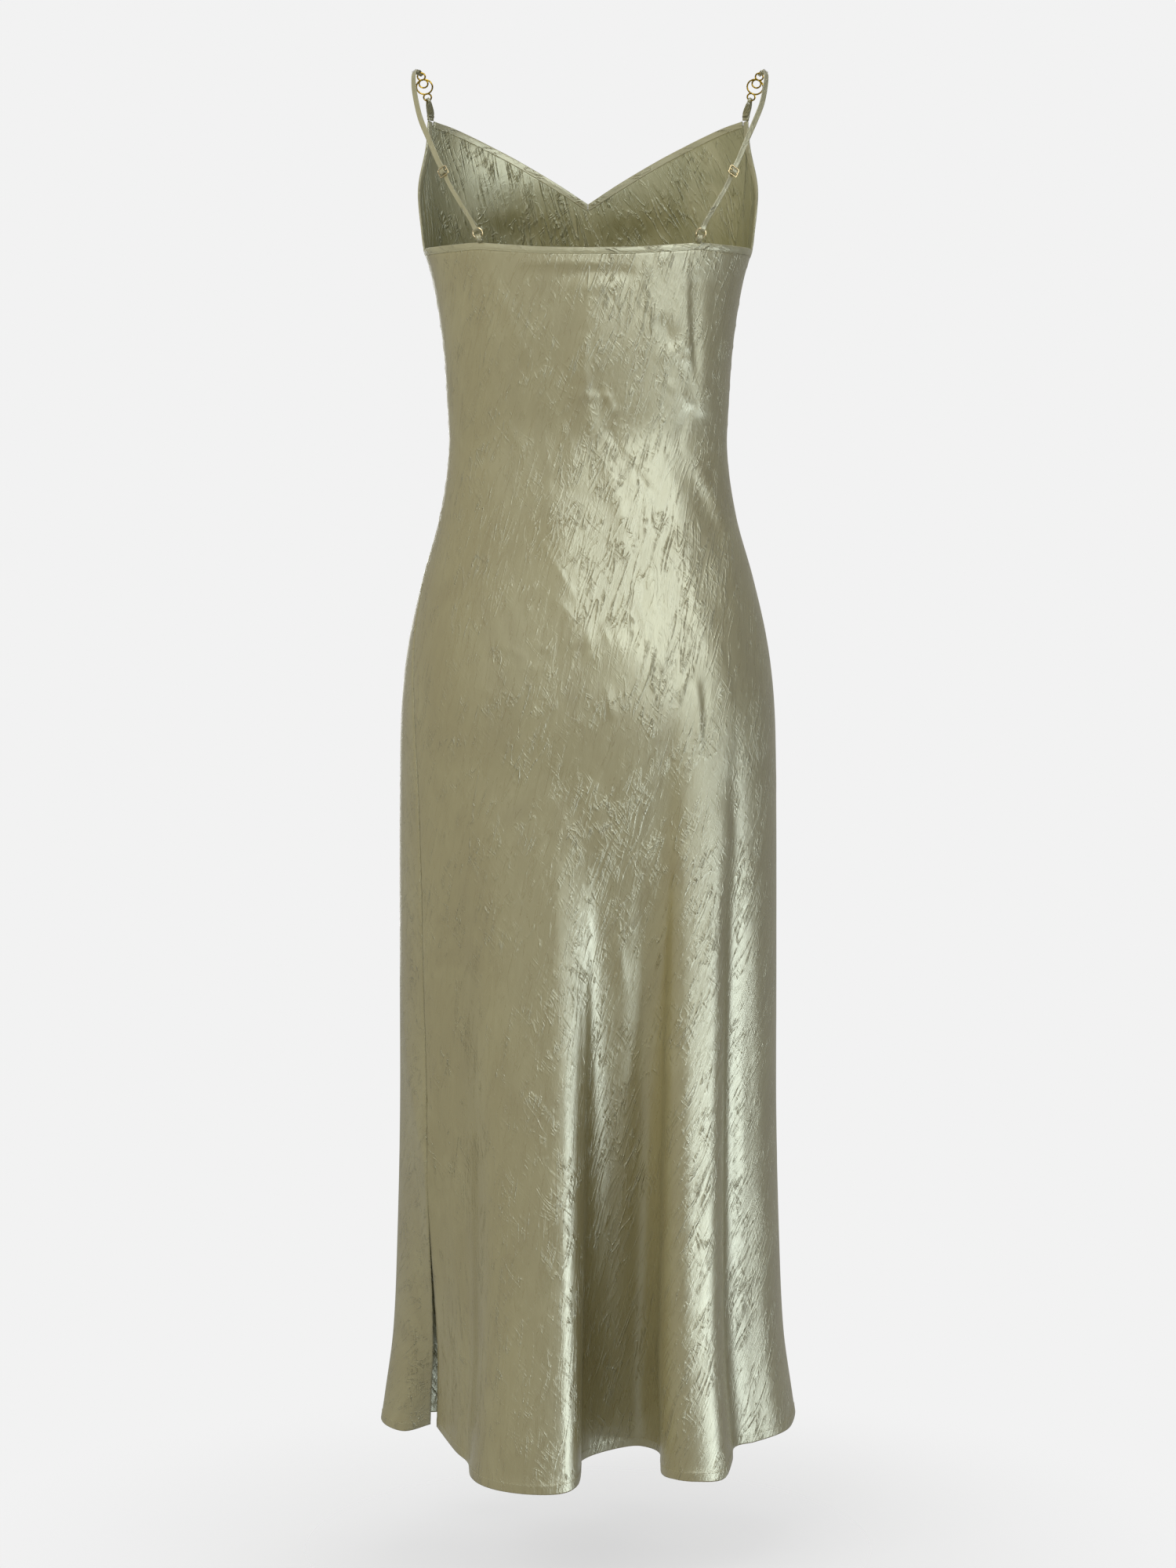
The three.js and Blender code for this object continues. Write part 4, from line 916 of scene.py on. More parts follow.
def plain_mesh(piece):
    """Turns a piece and its modifiers into a plain mesh."""
    bpy.context.view_layer.update()
    graph = bpy.context.evaluated_depsgraph_get()
    mesh = bpy.data.meshes.new_from_object(piece.evaluated_get(graph))
    piece.modifiers.clear()
    piece.data = mesh
    mesh.name = piece.name


def triangles(piece):
    return sum(len(face.vertices) - 2 for face in piece.data.polygons)


# %% Back and front panels
CLOTH = 0.9  # thickness of the cloth as shown


def grid_faces(columns, rows):
    index = np.arange(columns * rows).reshape(columns, rows)
    return np.stack([
        index[:-1, :-1], index[:-1, 1:], index[1:, 1:], index[1:, :-1],
    ], axis=-1).reshape(-1, 4).tolist()


def cloth_map(points):
    """Width and length along the cloth, measured from the middle of its top edge."""
    walked, _ = distance_in(points)
    middle = walked[walked.shape[0] // 2]
    fall = np.linalg.norm(np.diff(points, axis=1), axis=2)
    length = np.concatenate([np.zeros((len(points), 1)), np.cumsum(fall, axis=1)], axis=1)
    return np.stack([walked - middle, -length], axis=-1)


def make_panel(side):
    panel = panels[side]
    piece = new_piece(
        side + "_cloth",
        panel["points"],
        grid_faces(*panel["down"].shape),
        [satin, satin_inside],
        cloth_map(panel["points"]),
        [side + "_panel"],
    )
    wall = piece.modifiers.new("cloth", "SOLIDIFY")
    wall.thickness = CLOTH * MM
    wall.offset = -1
    wall.use_even_offset = True
    wall.material_offset = 1
    plain_mesh(piece)
    print(side, "cloth:", triangles(piece), "triangles")
    return piece


cloth = {side: make_panel(side) for side in ("back", "front")}

# %% [markdown]
# ## Bindings
# A binding is a strip of the same satin, folded over the raw edge and stitched through close
# to its lower fold. Its section is rounded: full at the garment's edge, pulled in by the
# stitches, and folded under. The section is swept along the edge, and small puckers are added.

# %% Section of a binding and its sweep
BINDING_SECTION = table("into out", [
    (0.0, -0.5), (0.06, -0.05), (0.35, 0.32), (1.3, 0.55), (2.8, 0.62), (4.2, 0.56), (4.95, 0.42),
    (5.25, 0.24), (5.6, 0.38), (6.0, 0.32), (6.2, 0.05), (6.22, -0.9), (6.0, -1.25), (5.2, -1.15),
    (2.9, -1.42), (0.6, -1.3), (0.1, -0.95),
])
STITCH_LINE = {"into": 5.25, "out": 0.34}
BINDING_STEP = 1.6
PUCKER_EVERY, PUCKER_HEIGHT = 4.5, 0.09


def resampled(line, count):
    """Points spread evenly along a line of points."""
    walked = walked_along(line)
    return spots_along(line, walked, np.linspace(0, walked[-1], count))


def tube_faces(count, sides, closed=False):
    """Faces between a row of like sections, closed at both ends or joined end to end."""
    index = np.arange(count * sides).reshape(count, sides)
    if closed:
        index = np.concatenate([index, index[:1]])
    over = np.roll(index, -1, axis=1)
    quads = np.stack([index[:-1], index[1:], over[1:], over[:-1]], axis=-1).reshape(-1, 4)
    faces = [tuple(quad) for quad in quads.tolist()]
    if not closed:
        faces += [tuple(index[0].tolist()), tuple(index[-1][::-1].tolist())]
    return faces


def swept(name, sections, material, replaces):
    """A piece from sections of points, with its faces turned outwards."""
    count, sides = sections.shape[:2]
    rounds = np.linalg.norm(np.diff(sections, axis=1, append=sections[:, :1]), axis=2)
    walked = np.cumsum(rounds, axis=1) - rounds
    length = walked_along(sections.mean(axis=1))
    flat = np.stack([walked, np.repeat(length[:, None], sides, axis=1)], axis=-1)
    piece = new_piece(
        name, sections, tube_faces(count, sides), [material], flat, replaces)
    outwards(piece)
    return piece


def outwards(piece):
    """Turns a closed piece's faces outwards, by the sign of its volume."""
    work = bmesh.new()
    work.from_mesh(piece.data)
    if work.calc_volume(signed=True) < 0:
        bmesh.ops.reverse_faces(work, faces=work.faces)
    work.to_mesh(piece.data)
    work.free()


def puckers(count, seed):
    """Uneven small rises along a strip that is pulled in by its stitches."""
    chance = np.random.default_rng(seed)
    places = np.arange(count) * BINDING_STEP
    knots = np.arange(0, places[-1] + 8, PUCKER_EVERY)
    return np.interp(places, knots, chance.normal(0, PUCKER_HEIGHT, len(knots)))


print("binding section:", len(BINDING_SECTION["into"]), "points")

# %% Bindings along the armholes, the V neck and the back
stitch_lines = []


def trimmed_neck(edge, keep_from):
    """Part of a moved neck edge between its outer end and the seam at the V's point."""
    points = body_point(*edge)
    keep = (points[:, 0] >= NECK_LIMIT) & keep_from
    kept, out = points[keep], cloth_normal(edge[0][keep], edge[1][keep], body_point)
    step = kept[-1] - kept[-5]
    last = kept[-1] + step * (NECK_LIMIT - kept[-1, 0]) / step[0]
    return np.concatenate([kept, [last]]), np.concatenate([out, out[-1:]])


def binding(name, edge, inner, out_edge, out_inner, replaces, seed):
    """Binding between an edge and its inner line, given as points with directions outwards."""
    count = int(walked_along(edge)[-1] / BINDING_STEP)
    top, low = resampled(edge, count), resampled(inner, count)
    out_top, out_low = unit(resampled(out_edge, count)), unit(resampled(out_inner, count))
    share = (BINDING_SECTION["into"] / BINDING_HEIGHT)[None, :, None]
    rise = np.repeat(BINDING_SECTION["out"][None], count, axis=0)
    wave = puckers(count, seed)[:, None]
    rise = rise + wave * np.sin(np.pi * np.clip(share[..., 0], 0, 1)) * (rise > 0)
    middle = top[:, None] * (1 - share) + low[:, None] * share
    out = unit(out_top[:, None] * (1 - share) + out_low[:, None] * share)
    piece = swept(name, middle + out * rise[..., None], satin_strip, replaces)
    line = STITCH_LINE["into"] / BINDING_HEIGHT
    stitches = top * (1 - line) + low * line + unit(out_top + out_low) * STITCH_LINE["out"]
    stitch_lines.append((name, stitches))
    print(name, count, "sections,", triangles(piece), "triangles")
    return piece


def mirrored(points):
    return points * np.array([-1, 1, 1])


def front_bindings():
    pieces = []
    arm_inner = inset(*armhole, BINDING_HEIGHT)
    neck_inner = inset(*neck, BINDING_HEIGHT)
    seam = inset(*armhole, BINDING_HEIGHT + 0.3)
    # the neck's strip starts under the armhole's one, on the line where that one ends
    keep = body_point(*neck)[:, 0] < body_point(*seam)[-1][0]
    top_points = body_point(*neck)[keep]
    top_out = cloth_normal(neck[0][keep], neck[1][keep], body_point)
    top_points[-1, 0] = NECK_LIMIT
    inside = along_edge(seam, neck_inner[0]) < neck_inner[1]
    inner_points, inner_out = trimmed_neck(neck_inner, inside)
    arm_points = body_point(*armhole), body_point(*arm_inner)
    arm_outs = [cloth_normal(*edge, body_point) for edge in (armhole, arm_inner)]
    for side, place in (("right", lambda rows: rows), ("left", mirrored)):
        pieces.append(binding(
            "armhole_strip_" + side, place(arm_points[0]), place(arm_points[1]),
            place(arm_outs[0]), place(arm_outs[1]), ["armhole_binding_" + side], 21))
        pieces.append(binding(
            "neck_strip_" + side, place(top_points), place(inner_points),
            place(top_out), place(inner_out), ["neck_binding_" + side], 23))
    return pieces


def back_binding():
    turn = np.linspace(SEAM_TURN["left"] + 0.1, SEAM_TURN["right"] - 0.1, 400)
    top = back_top(turn, 0)
    angle = turn - bias_shift(turn, top)
    low = top + BINDING_HEIGHT
    points = [body_point(angle, level) for level in (top, low)]
    outs = [cloth_normal(angle, level, body_point) for level in (top, low)]
    return binding("back_neck_strip", *points, *outs, ["back_neck_binding"], 25)


front_strips = front_bindings()
back_strip = back_binding()

# %% [markdown]
# ## Straps and fittings
# A strap is one long tube of satin, turned right side out and pressed flat. Its front end is
# sewn round the link's eyelet. It goes over the shoulder and through the slider, round the
# ring and back up to the slider's middle bar, so its lower part is double. The same route as
# in the solid model is walked here in finer steps, and a rounded section is swept along it.

# %% Curve of a strap
BODY_CENTRE = np.array([95, 15, -95])  # the straps face away from here
LOOK_ALONG = 0.4  # a strap's direction is taken between two places this far from each


def smooth_curve(points, fine=120):
    """Curve through points that leaves no loops where they are unevenly spaced."""
    points = np.asarray(points, dtype=float)
    ends = [2 * points[0] - points[1], *points, 2 * points[-1] - points[-2]]
    pieces = []
    for p0, p1, p2, p3 in zip(ends, ends[1:], ends[2:], ends[3:]):
        d0, d1, d2 = (np.linalg.norm(b - a) ** 0.5 for a, b in ((p0, p1), (p1, p2), (p2, p3)))
        leave = ((p1 - p0) / d0 - (p2 - p0) / (d0 + d1) + (p2 - p1) / d1) * d1
        arrive = ((p2 - p1) / d1 - (p3 - p1) / (d1 + d2) + (p3 - p2) / d2) * d1
        t = np.linspace(0, 1, fine, endpoint=False)[:, None]
        pieces.append(soft_step(p1, p2, leave, arrive, t))
    return np.concatenate([*pieces, points[-1:]])


def strap_curve(points, sign):
    """Function that gives a strap's place, and the directions along, out and across, at a length."""
    line = smooth_curve(points)
    walked = walked_along(line)
    total = walked[-1]

    def at(length):
        length = np.atleast_1d(np.asarray(length, dtype=float))
        inside = np.clip(length, 0, total)
        before, here, after = (
            spots_along(line, walked, inside + step) for step in (-LOOK_ALONG, 0, LOOK_ALONG))
        along = unit(after - before)
        place = here + along * (length - inside)[:, None]
        out = place - BODY_CENTRE * (sign, 1, 1)
        out = unit(out - along * (out * along).sum(-1, keepdims=True))
        return place, along, out, np.cross(along, out)

    return total, at


# %% Sweep of a tape along its strap
TAPE = {"thick": 0.9, "half": 2.6, "thin_half": 2, "loop_half": 1.3, "tab_half": 2.5,
        "peak_half": 3.4}
SLIDER = {"half": 4.4, "pitch": 4, "wire": 0.6, "corner": 1.4, "from_ring": 66}
RING = {"radius": 4.25, "wire": 0.75, "tab": 5}
LINK = {"radius": 7.3, "inner": 4, "eyelet": 3.5, "wire": 0.75}
GAP = 0.3
LAYER = TAPE["thick"] + GAP * 0.8
TAPE_SECTION = [
    # across, thick, as shares of half the width and half the thickness
    (-1, 0), (-0.95, 0.72), (-0.8, 1), (-0.62, 0.86), (0, 0.78), (0.62, 0.86), (0.8, 1),
    (0.95, 0.72), (1, 0), (0.95, -0.72), (0.8, -1), (0.62, -0.86), (0, -0.78), (-0.62, -0.86),
    (-0.8, -1), (-0.95, -0.72),
]


def finer(steps, times=4):
    """More steps between those of a tape, on a smooth curve through them."""
    steps = np.asarray(steps, dtype=float)
    before = np.concatenate([steps[:1], steps[:-1]])
    after = np.concatenate([steps[1:], steps[-1:]])
    slope = (after - before) / 2
    t = np.linspace(0, 1, times, endpoint=False)[:, None]
    rows = [
        soft_step(steps[index], steps[index + 1], slope[index], slope[index + 1], t)
        for index in range(len(steps) - 1)
    ]
    return np.concatenate([*rows, steps[-1:]])


def tape(name, at, steps, replaces):
    """Tape that follows steps of (length along the strap, height off it, half its width)."""
    go, lift, half = finer(steps).T
    run, rise = np.gradient(go), np.gradient(lift)
    size = np.maximum(np.hypot(run, rise), 1e-6)
    place, along, out, across = at(go)
    middle = place + out * lift[:, None]
    thick = out * (run / size)[:, None] - along * (rise / size)[:, None]
    shares = np.array(TAPE_SECTION)
    sections = (
        middle[:, None]
        + across[:, None] * (shares[:, 0] * half[:, None])[..., None]
        + thick[:, None] * (shares[:, 1] * TAPE["thick"] / 2)[None, :, None]
    )
    piece = swept(name, sections, satin_strip, replaces)
    print(name, len(go), "sections,", triangles(piece), "triangles")
    return piece


def half_turn(go, radius, towards, half):
    angles = np.radians(np.linspace(-90, 90, 7))
    return [(go + towards * radius * math.cos(a), radius * math.sin(a), half) for a in angles]


def loop_radius(ring_radius, wire, half):
    """Radius of a tape's loop round the curved wire of a ring."""
    reach = half + wire
    bow = ring_radius - math.sqrt(ring_radius ** 2 - reach ** 2)
    return wire + bow + GAP + TAPE["thick"] / 2


def back_strap_steps(slider, ring_top):
    """Steps of the long strap: eyelet, shoulder, slider, ring and back to the slider."""
    wide, thin, loop = TAPE["half"], TAPE["thin_half"], TAPE["loop_half"]
    eyelet = loop_radius(LINK["eyelet"], LINK["wire"], loop)
    ring = loop_radius(RING["radius"], RING["wire"], thin)
    bar = SLIDER["wire"] + GAP * 0.7 + TAPE["thick"] / 2
    behind = -(SLIDER["wire"] + GAP + TAPE["thick"] / 2)
    on_bar, in_bar = SLIDER["pitch"] + 0.5, SLIDER["pitch"] - 0.8
    steps = [
        (15, -0.6 - LAYER, wide), (10, -0.5 - LAYER, wide), (5, -1.1 - LAYER, loop),
        *half_turn(0, eyelet + GAP, -1, loop), (5, 1.3, loop), (10, 0, wide),
    ]
    steps += [(go, 0, wide) for go in np.arange(15, slider - 10, 8)]
    steps += [(slider - 7, -0.7, wide), (slider - on_bar, behind, wide - 0.2),
              (slider - in_bar, behind, wide - 0.3)]
    over = bar + LAYER
    steps += [
        (slider - over * math.cos(math.radians(a)), over * math.sin(math.radians(a)), wide - 0.3)
        for a in (-30, -5, 25, 57, 90, 123, 155, 185, 210)
        if over * math.sin(math.radians(a)) > -1
    ]
    steps += [(slider + in_bar, behind, thin), (slider + on_bar, behind, thin),
              (slider + 8, -0.4, thin)]
    steps += [(go, 0, thin) for go in np.arange(slider + 16, ring_top - 8, 10)]
    steps += [(ring_top - 5, ring * 0.35, thin), *half_turn(ring_top, ring, 1, thin)[::-1],
              (ring_top - 5, -LAYER - ring * 0.25, thin)]
    steps += [(go, -LAYER, thin) for go in np.arange(ring_top - 12, slider + 12, -10)]
    steps += [(slider + 8, -0.4 - LAYER, thin), (slider + on_bar, behind - LAYER, thin),
              (slider + in_bar - 0.6, behind - LAYER, thin), (slider + 1.3, -bar - 0.45, thin),
              *half_turn(slider, bar, -1, thin), (slider + 0.5, bar - 0.12, thin)]
    return steps


def tab_steps(total, ring_foot):
    loop = loop_radius(RING["radius"], RING["wire"], TAPE["tab_half"])
    end, half = total - 3.6 * GAP, TAPE["tab_half"]
    flat = LAYER / 2 + 0.1
    return [(end, -flat, half), (ring_foot + 2.5, 0.7 - loop, half),
            *half_turn(ring_foot, loop, -1, half), (ring_foot + 2.5, loop - 0.7, half),
            (end, flat, half)]


def front_strap_steps(total):
    loop = loop_radius(LINK["eyelet"], LINK["wire"], TAPE["loop_half"])
    end, leg, wide = total - 3 * GAP, LAYER / 2 + 0.15, TAPE["peak_half"]
    return [(end, -leg, wide), (end - 8, -leg, wide), (9, -leg, 3), (4, -leg - 0.5, 2.3),
            *half_turn(0, loop, -1, TAPE["loop_half"]),
            (4, leg + 0.5, 2.3), (9, leg, 3), (end - 8, leg, wide), (end, leg, wide)]


# %% Wire fittings


def wire(name, lines, radius, frame_of, material, slot, replaces, sides=12):
    """Bent wire along flat closed or open lines, set in a place's own directions."""
    place, across, along, out = frame_of
    points, faces, start = [], [], 0
    for line, closed in lines:
        line = np.asarray(line, dtype=float)
        if closed:
            run = np.roll(line, -1, axis=0) - np.roll(line, 1, axis=0)
        else:
            run = np.gradient(line, axis=0)
        run = unit(run)
        outwards_flat = np.stack([run[:, 1], -run[:, 0]], axis=-1)
        turn = np.linspace(0, 2 * np.pi, sides, endpoint=False)
        flat = line[:, None] + outwards_flat[:, None] * (radius * np.cos(turn))[None, :, None]
        high = np.broadcast_to(radius * np.sin(turn), flat.shape[:2])
        points.append(
            place + flat[..., :1] * across + flat[..., 1:] * along + high[..., None] * out)
        faces += [
            tuple(corner + start for corner in face)
            for face in tube_faces(len(line), sides, closed)
        ]
        start += len(line) * sides
    joined = np.concatenate([rows.reshape(-1, 3) for rows in points])
    piece = new_piece(name, joined, faces, [material], None, replaces)
    outwards(piece)
    print(name, triangles(piece), "triangles")
    return piece


def circle(radius, up, steps=48):
    turn = np.linspace(0, 2 * np.pi, steps, endpoint=False)
    return np.stack([radius * np.cos(turn), up + radius * np.sin(turn)], axis=-1)


def slider_lines():
    """Rounded outline of a slider and the bar across its middle."""
    corner = SLIDER["corner"]
    outline = []
    for index, (right, up) in enumerate(((1, 1), (-1, 1), (-1, -1), (1, -1))):
        for step in np.linspace(0, 1, 7):
            angle = math.pi / 2 * (index + step)
            outline.append((
                right * (SLIDER["half"] - corner) + corner * math.cos(angle),
                up * (SLIDER["pitch"] - corner) + corner * math.sin(angle),
            ))
    bar = [(x, 0) for x in np.linspace(-SLIDER["half"], SLIDER["half"], 5)]
    return [(outline, True), (bar, False)]


def link_lines():
    touching = LINK["radius"] + LINK["eyelet"] - LINK["wire"] / 4
    return [
        (circle(LINK["radius"], 0, 64), True),
        (circle(LINK["inner"], LINK["inner"] - LINK["radius"]), True),
        (circle(LINK["eyelet"], touching, 40), True),
        (circle(LINK["eyelet"], -touching, 40), True),
    ]


print("a link is", len(link_lines()), "rounds of wire")

# %% Both straps
SOLID_CLOTH = 1.5  # thickness of the cloth in the solid model


def rows_of(route, side, sign):
    return np.stack([sign * route[side], route["forward"], -route["down"]], axis=-1)


def seat_of(side, sign):
    """Where the ring's tab meets the back neck binding."""
    across = np.array(STRAP_SEAT[side])
    down = read(BACK_EDGE, "across", "down", across)
    half = read(SECTIONS, "down", "half", down)
    angle = 360 - np.degrees(np.arccos((across / half) ** (SQUARENESS / 2)))
    seat = body_point(angle, down) - cloth_normal(angle, down, body_point) * SOLID_CLOTH / 2
    return seat * (sign, 1, 1)


def peak_of(sign):
    inner = inset(*armhole, BINDING_HEIGHT)
    middle = (body_point(*armhole)[-1] + body_point(*inner)[-1]) / 2
    out = cloth_normal(armhole[0][-1:], armhole[1][-1:], body_point)[0]
    return (middle - out * SOLID_CLOTH / 2) * (sign, 1, 1)


def make_strap(side):
    sign = -1 if side == "left" else 1
    top, foot = rows_of(LINK_ENDS, side, sign)
    axis = unit(foot - top)
    wire_top, wire_foot = top - axis * LINK["eyelet"], foot + axis * LINK["eyelet"]
    route = [wire_top, *rows_of(STRAP_ROUTE, side, sign), seat_of(side, sign)]
    total, at = strap_curve(route, sign)
    ring_foot = total - RING["tab"]
    ring_top = ring_foot - 2 * RING["radius"]
    slider = ring_top - SLIDER["from_ring"]
    made = {"at": at, "back_strap": tape(
        "long_strap_" + side, at, back_strap_steps(slider, ring_top), ["back_strap_" + side])}
    made["tab"] = tape(
        "ring_tab_" + side, at, tab_steps(total, ring_foot), ["strap_tab_" + side])
    front_route = [wire_foot, *rows_of(PEAK_ROUTE, side, sign), peak_of(sign)]
    front_total, front_at = strap_curve(front_route, sign)
    made["front_at"], made["front_total"] = front_at, front_total
    made["front_strap"] = tape(
        "short_strap_" + side, front_at, front_strap_steps(front_total), ["front_strap_" + side])
    frames = {}
    for piece, length in (("slider", slider), ("ring", (ring_top + ring_foot) / 2)):
        place, along, out, across = (rows[0] for rows in at(length))
        frames[piece] = (place, across, along, out)
    made["slider"] = wire(
        "slider_" + side, slider_lines(), SLIDER["wire"], frames["slider"],
        pale_gold, "pale_gold_wire", ["strap_slider_" + side])
    made["ring"] = wire(
        "ring_" + side, [(circle(RING["radius"], 0), True)], RING["wire"], frames["ring"],
        pale_gold, "pale_gold_wire", ["strap_ring_" + side])
    across = at(0)[3][0]
    across = unit(across - axis * (across @ axis))
    made["link"] = wire(
        "link_" + side, link_lines(), LINK["wire"],
        ((top + foot) / 2, across, axis, np.cross(across, axis)),
        antique_gold, "gold_wire", ["strap_link_" + side])
    return made


straps = {side: make_strap(side) for side in ("left", "right")}

# %% [markdown]
# ## Sewing
# The stitches are repeats, so nodes make them: a line is turned into evenly spaced points, and
# at each point stands a small rounded stitch, turned along the line. Lines of stitches run
# beside the lower fold of every binding and round the hem, and short dense ones, the
# bar tacks, hold the straps' ends.

# %% Nodes for a row of stitches
STITCH = {"pitch": 3.1, "length": 2.7, "thick": 0.34, "thread": thread}
TACK = {"pitch": 0.55, "length": 2.3, "thick": 0.4, "thread": tack_thread}
UNEVEN = (0.88, 1.08)  # shortest and longest stitch, as shares of its length


def stitch_nodes():
    """Node group that turns lines into rows of stitches."""
    tree = bpy.data.node_groups.new("row_of_stitches", "GeometryNodeTree")
    for name, kind in (
        ("Lines", "Geometry"), ("Pitch", "Float"), ("Length", "Float"), ("Thickness", "Float"),
        ("Turn", "Float"), ("Seed", "Int"), ("Thread", "Material"),
    ):
        tree.interface.new_socket(name, in_out="INPUT", socket_type="NodeSocket" + kind)
    tree.interface.new_socket("Stitches", in_out="OUTPUT", socket_type="NodeSocketGeometry")
    given = add(tree, "NodeGroupInput").outputs
    line = add(tree, "GeometryNodeMeshToCurve", links={"Mesh": given["Lines"]})
    spots = add(tree, "GeometryNodeCurveToPoints", {"mode": "LENGTH"}, {}, {
        "Curve": line.outputs["Curve"], "Length": given["Pitch"],
    })
    body = add(tree, "GeometryNodeMeshUVSphere", {}, {"Segments": 6, "Rings": 5, "Radius": 0.5})
    uneven = add(tree, "FunctionNodeRandomValue", {"data_type": "FLOAT"}, {}, {
        "Seed": given["Seed"],
    })
    uneven.inputs[2].default_value, uneven.inputs[3].default_value = UNEVEN
    size = add(tree, "ShaderNodeCombineXYZ", {}, {}, {
        "X": given["Thickness"], "Y": given["Thickness"],
        "Z": worked_out(tree, "MULTIPLY", given["Length"], uneven.outputs[1]),
    })
    tilt = add(tree, "ShaderNodeCombineXYZ", {}, {}, {"X": given["Turn"]})
    turned = add(tree, "FunctionNodeRotateRotation", {"rotation_space": "LOCAL"}, {}, {
        "Rotation": spots.outputs["Rotation"], "Rotate By": tilt.outputs[0],
    })
    placed = add(tree, "GeometryNodeInstanceOnPoints", {}, {}, {
        "Points": spots.outputs["Points"],
        "Instance": body.outputs["Mesh"],
        "Rotation": turned.outputs[0],
        "Scale": size.outputs[0],
    })
    real = add(tree, "GeometryNodeRealizeInstances", links={"Geometry": placed.outputs[0]})
    dyed = add(tree, "GeometryNodeSetMaterial", {}, {}, {
        "Geometry": real.outputs[0], "Material": given["Thread"],
    })
    add(tree, "NodeGroupOutput", links={"Stitches": dyed.outputs[0]})
    return tree


def sewn(name, lines, kind, seed, turn=0.0):
    """A piece of thread: stitches along lines of points."""
    points, edges = [], []
    for line in lines:
        start = len(points)
        points += (np.asarray(line) * MM).tolist()
        edges += [(i, i + 1) for i in range(start, len(points) - 1)]
    mesh = bpy.data.meshes.new(name)
    mesh.from_pydata(points, edges, [])
    piece = bpy.data.objects.new(name, mesh)
    bpy.context.scene.collection.objects.link(piece)
    nodes = piece.modifiers.new("stitches", "NODES")
    nodes.node_group = stitch_group
    values = {
        "Pitch": kind["pitch"] * MM,
        "Length": kind["length"] * MM,
        "Thickness": kind["thick"] * MM,
        "Turn": turn,
        "Seed": seed,
        "Thread": kind["thread"],
    }
    for socket in stitch_group.interface.items_tree:
        if socket.name in values:
            nodes[socket.identifier] = values[socket.name]
    plain_mesh(piece)
    piece.data.shade_smooth()
    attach(piece, "root")
    print(name, triangles(piece), "triangles")
    return piece


stitch_group = stitch_nodes()
print("inputs:", [socket.name for socket in stitch_group.interface.items_tree])

# %% Rows of stitches
HEM_STITCH_UP = 7
HEM_THREAD_LIFT = 0.1
PEAK_TACK = {"from_end": 4.5, "half": 3.1, "lift": 0.72}
FOLD_TACK = {"at": 12.5, "half": 2.3, "lift": 0.5}


def line_on_panel(side, above):
    """Line on a panel's outer face, at a height above the hem."""
    panel = panels[side]
    rows = []
    for column, level in enumerate(hem_down(panel["turn"][:, 0]) - above):
        down, points = panel["down"][column], panel["points"][column]
        rows.append([np.interp(level, down, points[:, axis]) for axis in range(3)])
    normal = cloth_normal(panel["turn"][:, 0], hem_down(panel["turn"][:, 0]) - above)
    return (np.array(rows) + normal * HEM_THREAD_LIFT)[1:-1]


def tack_lines(at, length, half, lift):
    """Lines of a bar tack across a tape, on both of its faces."""
    place, along, out, across = (rows[0] for rows in at(length))
    return [
        [place + across * half * sign + out * height for sign in (-1, -0.3, 0.3, 1)]
        for height in (lift, -lift)
    ]


binding_thread = {
    side: sewn(side + "_binding_stitches", [
        line for name, line in stitch_lines if (name == "back_neck_strip") == (side == "back")
    ], STITCH, seed)
    for side, seed in (("front", 31), ("back", 32))
}
hem_thread = {
    side: sewn(side + "_hem_stitches", [line_on_panel(side, HEM_STITCH_UP)], STITCH, 33)
    for side in ("back", "front")
}
for side, parts in straps.items():
    from_link = parts["front_total"] - PEAK_TACK["from_end"]
    peak = tack_lines(
        parts["front_at"], from_link, PEAK_TACK["half"], LAYER / 2 + PEAK_TACK["lift"])
    fold = tack_lines(parts["at"], FOLD_TACK["at"], FOLD_TACK["half"], FOLD_TACK["lift"])
    # the strap is double here, so the lower face is one layer farther in
    fold[1] = [point - parts["at"](FOLD_TACK["at"])[2][0] * LAYER for point in fold[1]]
    sewn("bar_tacks_" + side, [*peak, *fold], TACK, 34, math.pi / 2)

# %% [markdown]
# The two panels are sheets of cloth, so the size each is cut to, in metres, and its area are
# printed, because it is a shaped piece and no rectangle.


def laid_out(side):
    """Widest row, longest column and area of a panel, in metres and square metres."""
    panel = panels[side]
    points = cloth_point(panel["turn"], panel["down"]) * MM
    across, fall = np.diff(points, axis=0), np.diff(points, axis=1)
    width = np.linalg.norm(across, axis=2).sum(axis=0).max()
    length = np.linalg.norm(fall, axis=2).sum(axis=1).max()
    area = np.linalg.norm(np.cross(across[:, :-1], fall[:-1]), axis=2).sum()
    return round(float(width), 3), round(float(length), 3), round(float(area), 3)


for side, piece in cloth.items():
    print(side, "width, length and area laid out:", laid_out(side))

# %% [markdown]
# ## Light, floor and background
# Satin shows the soft boxes as mirror images. A big one stands to the camera's right, a little
# high, and gives the bright band right of the middle. A lower one, farther round, does it for
# the folds of the skirt, and a narrow one for the front. These three only shine: the cloth's
# own colour is lit by two wide fills that leave no mirror image, which keeps the left side an
# even middle tone. A weak box above and an even, dim light from all round add a little of
# both. The camera sees a plain pale background.

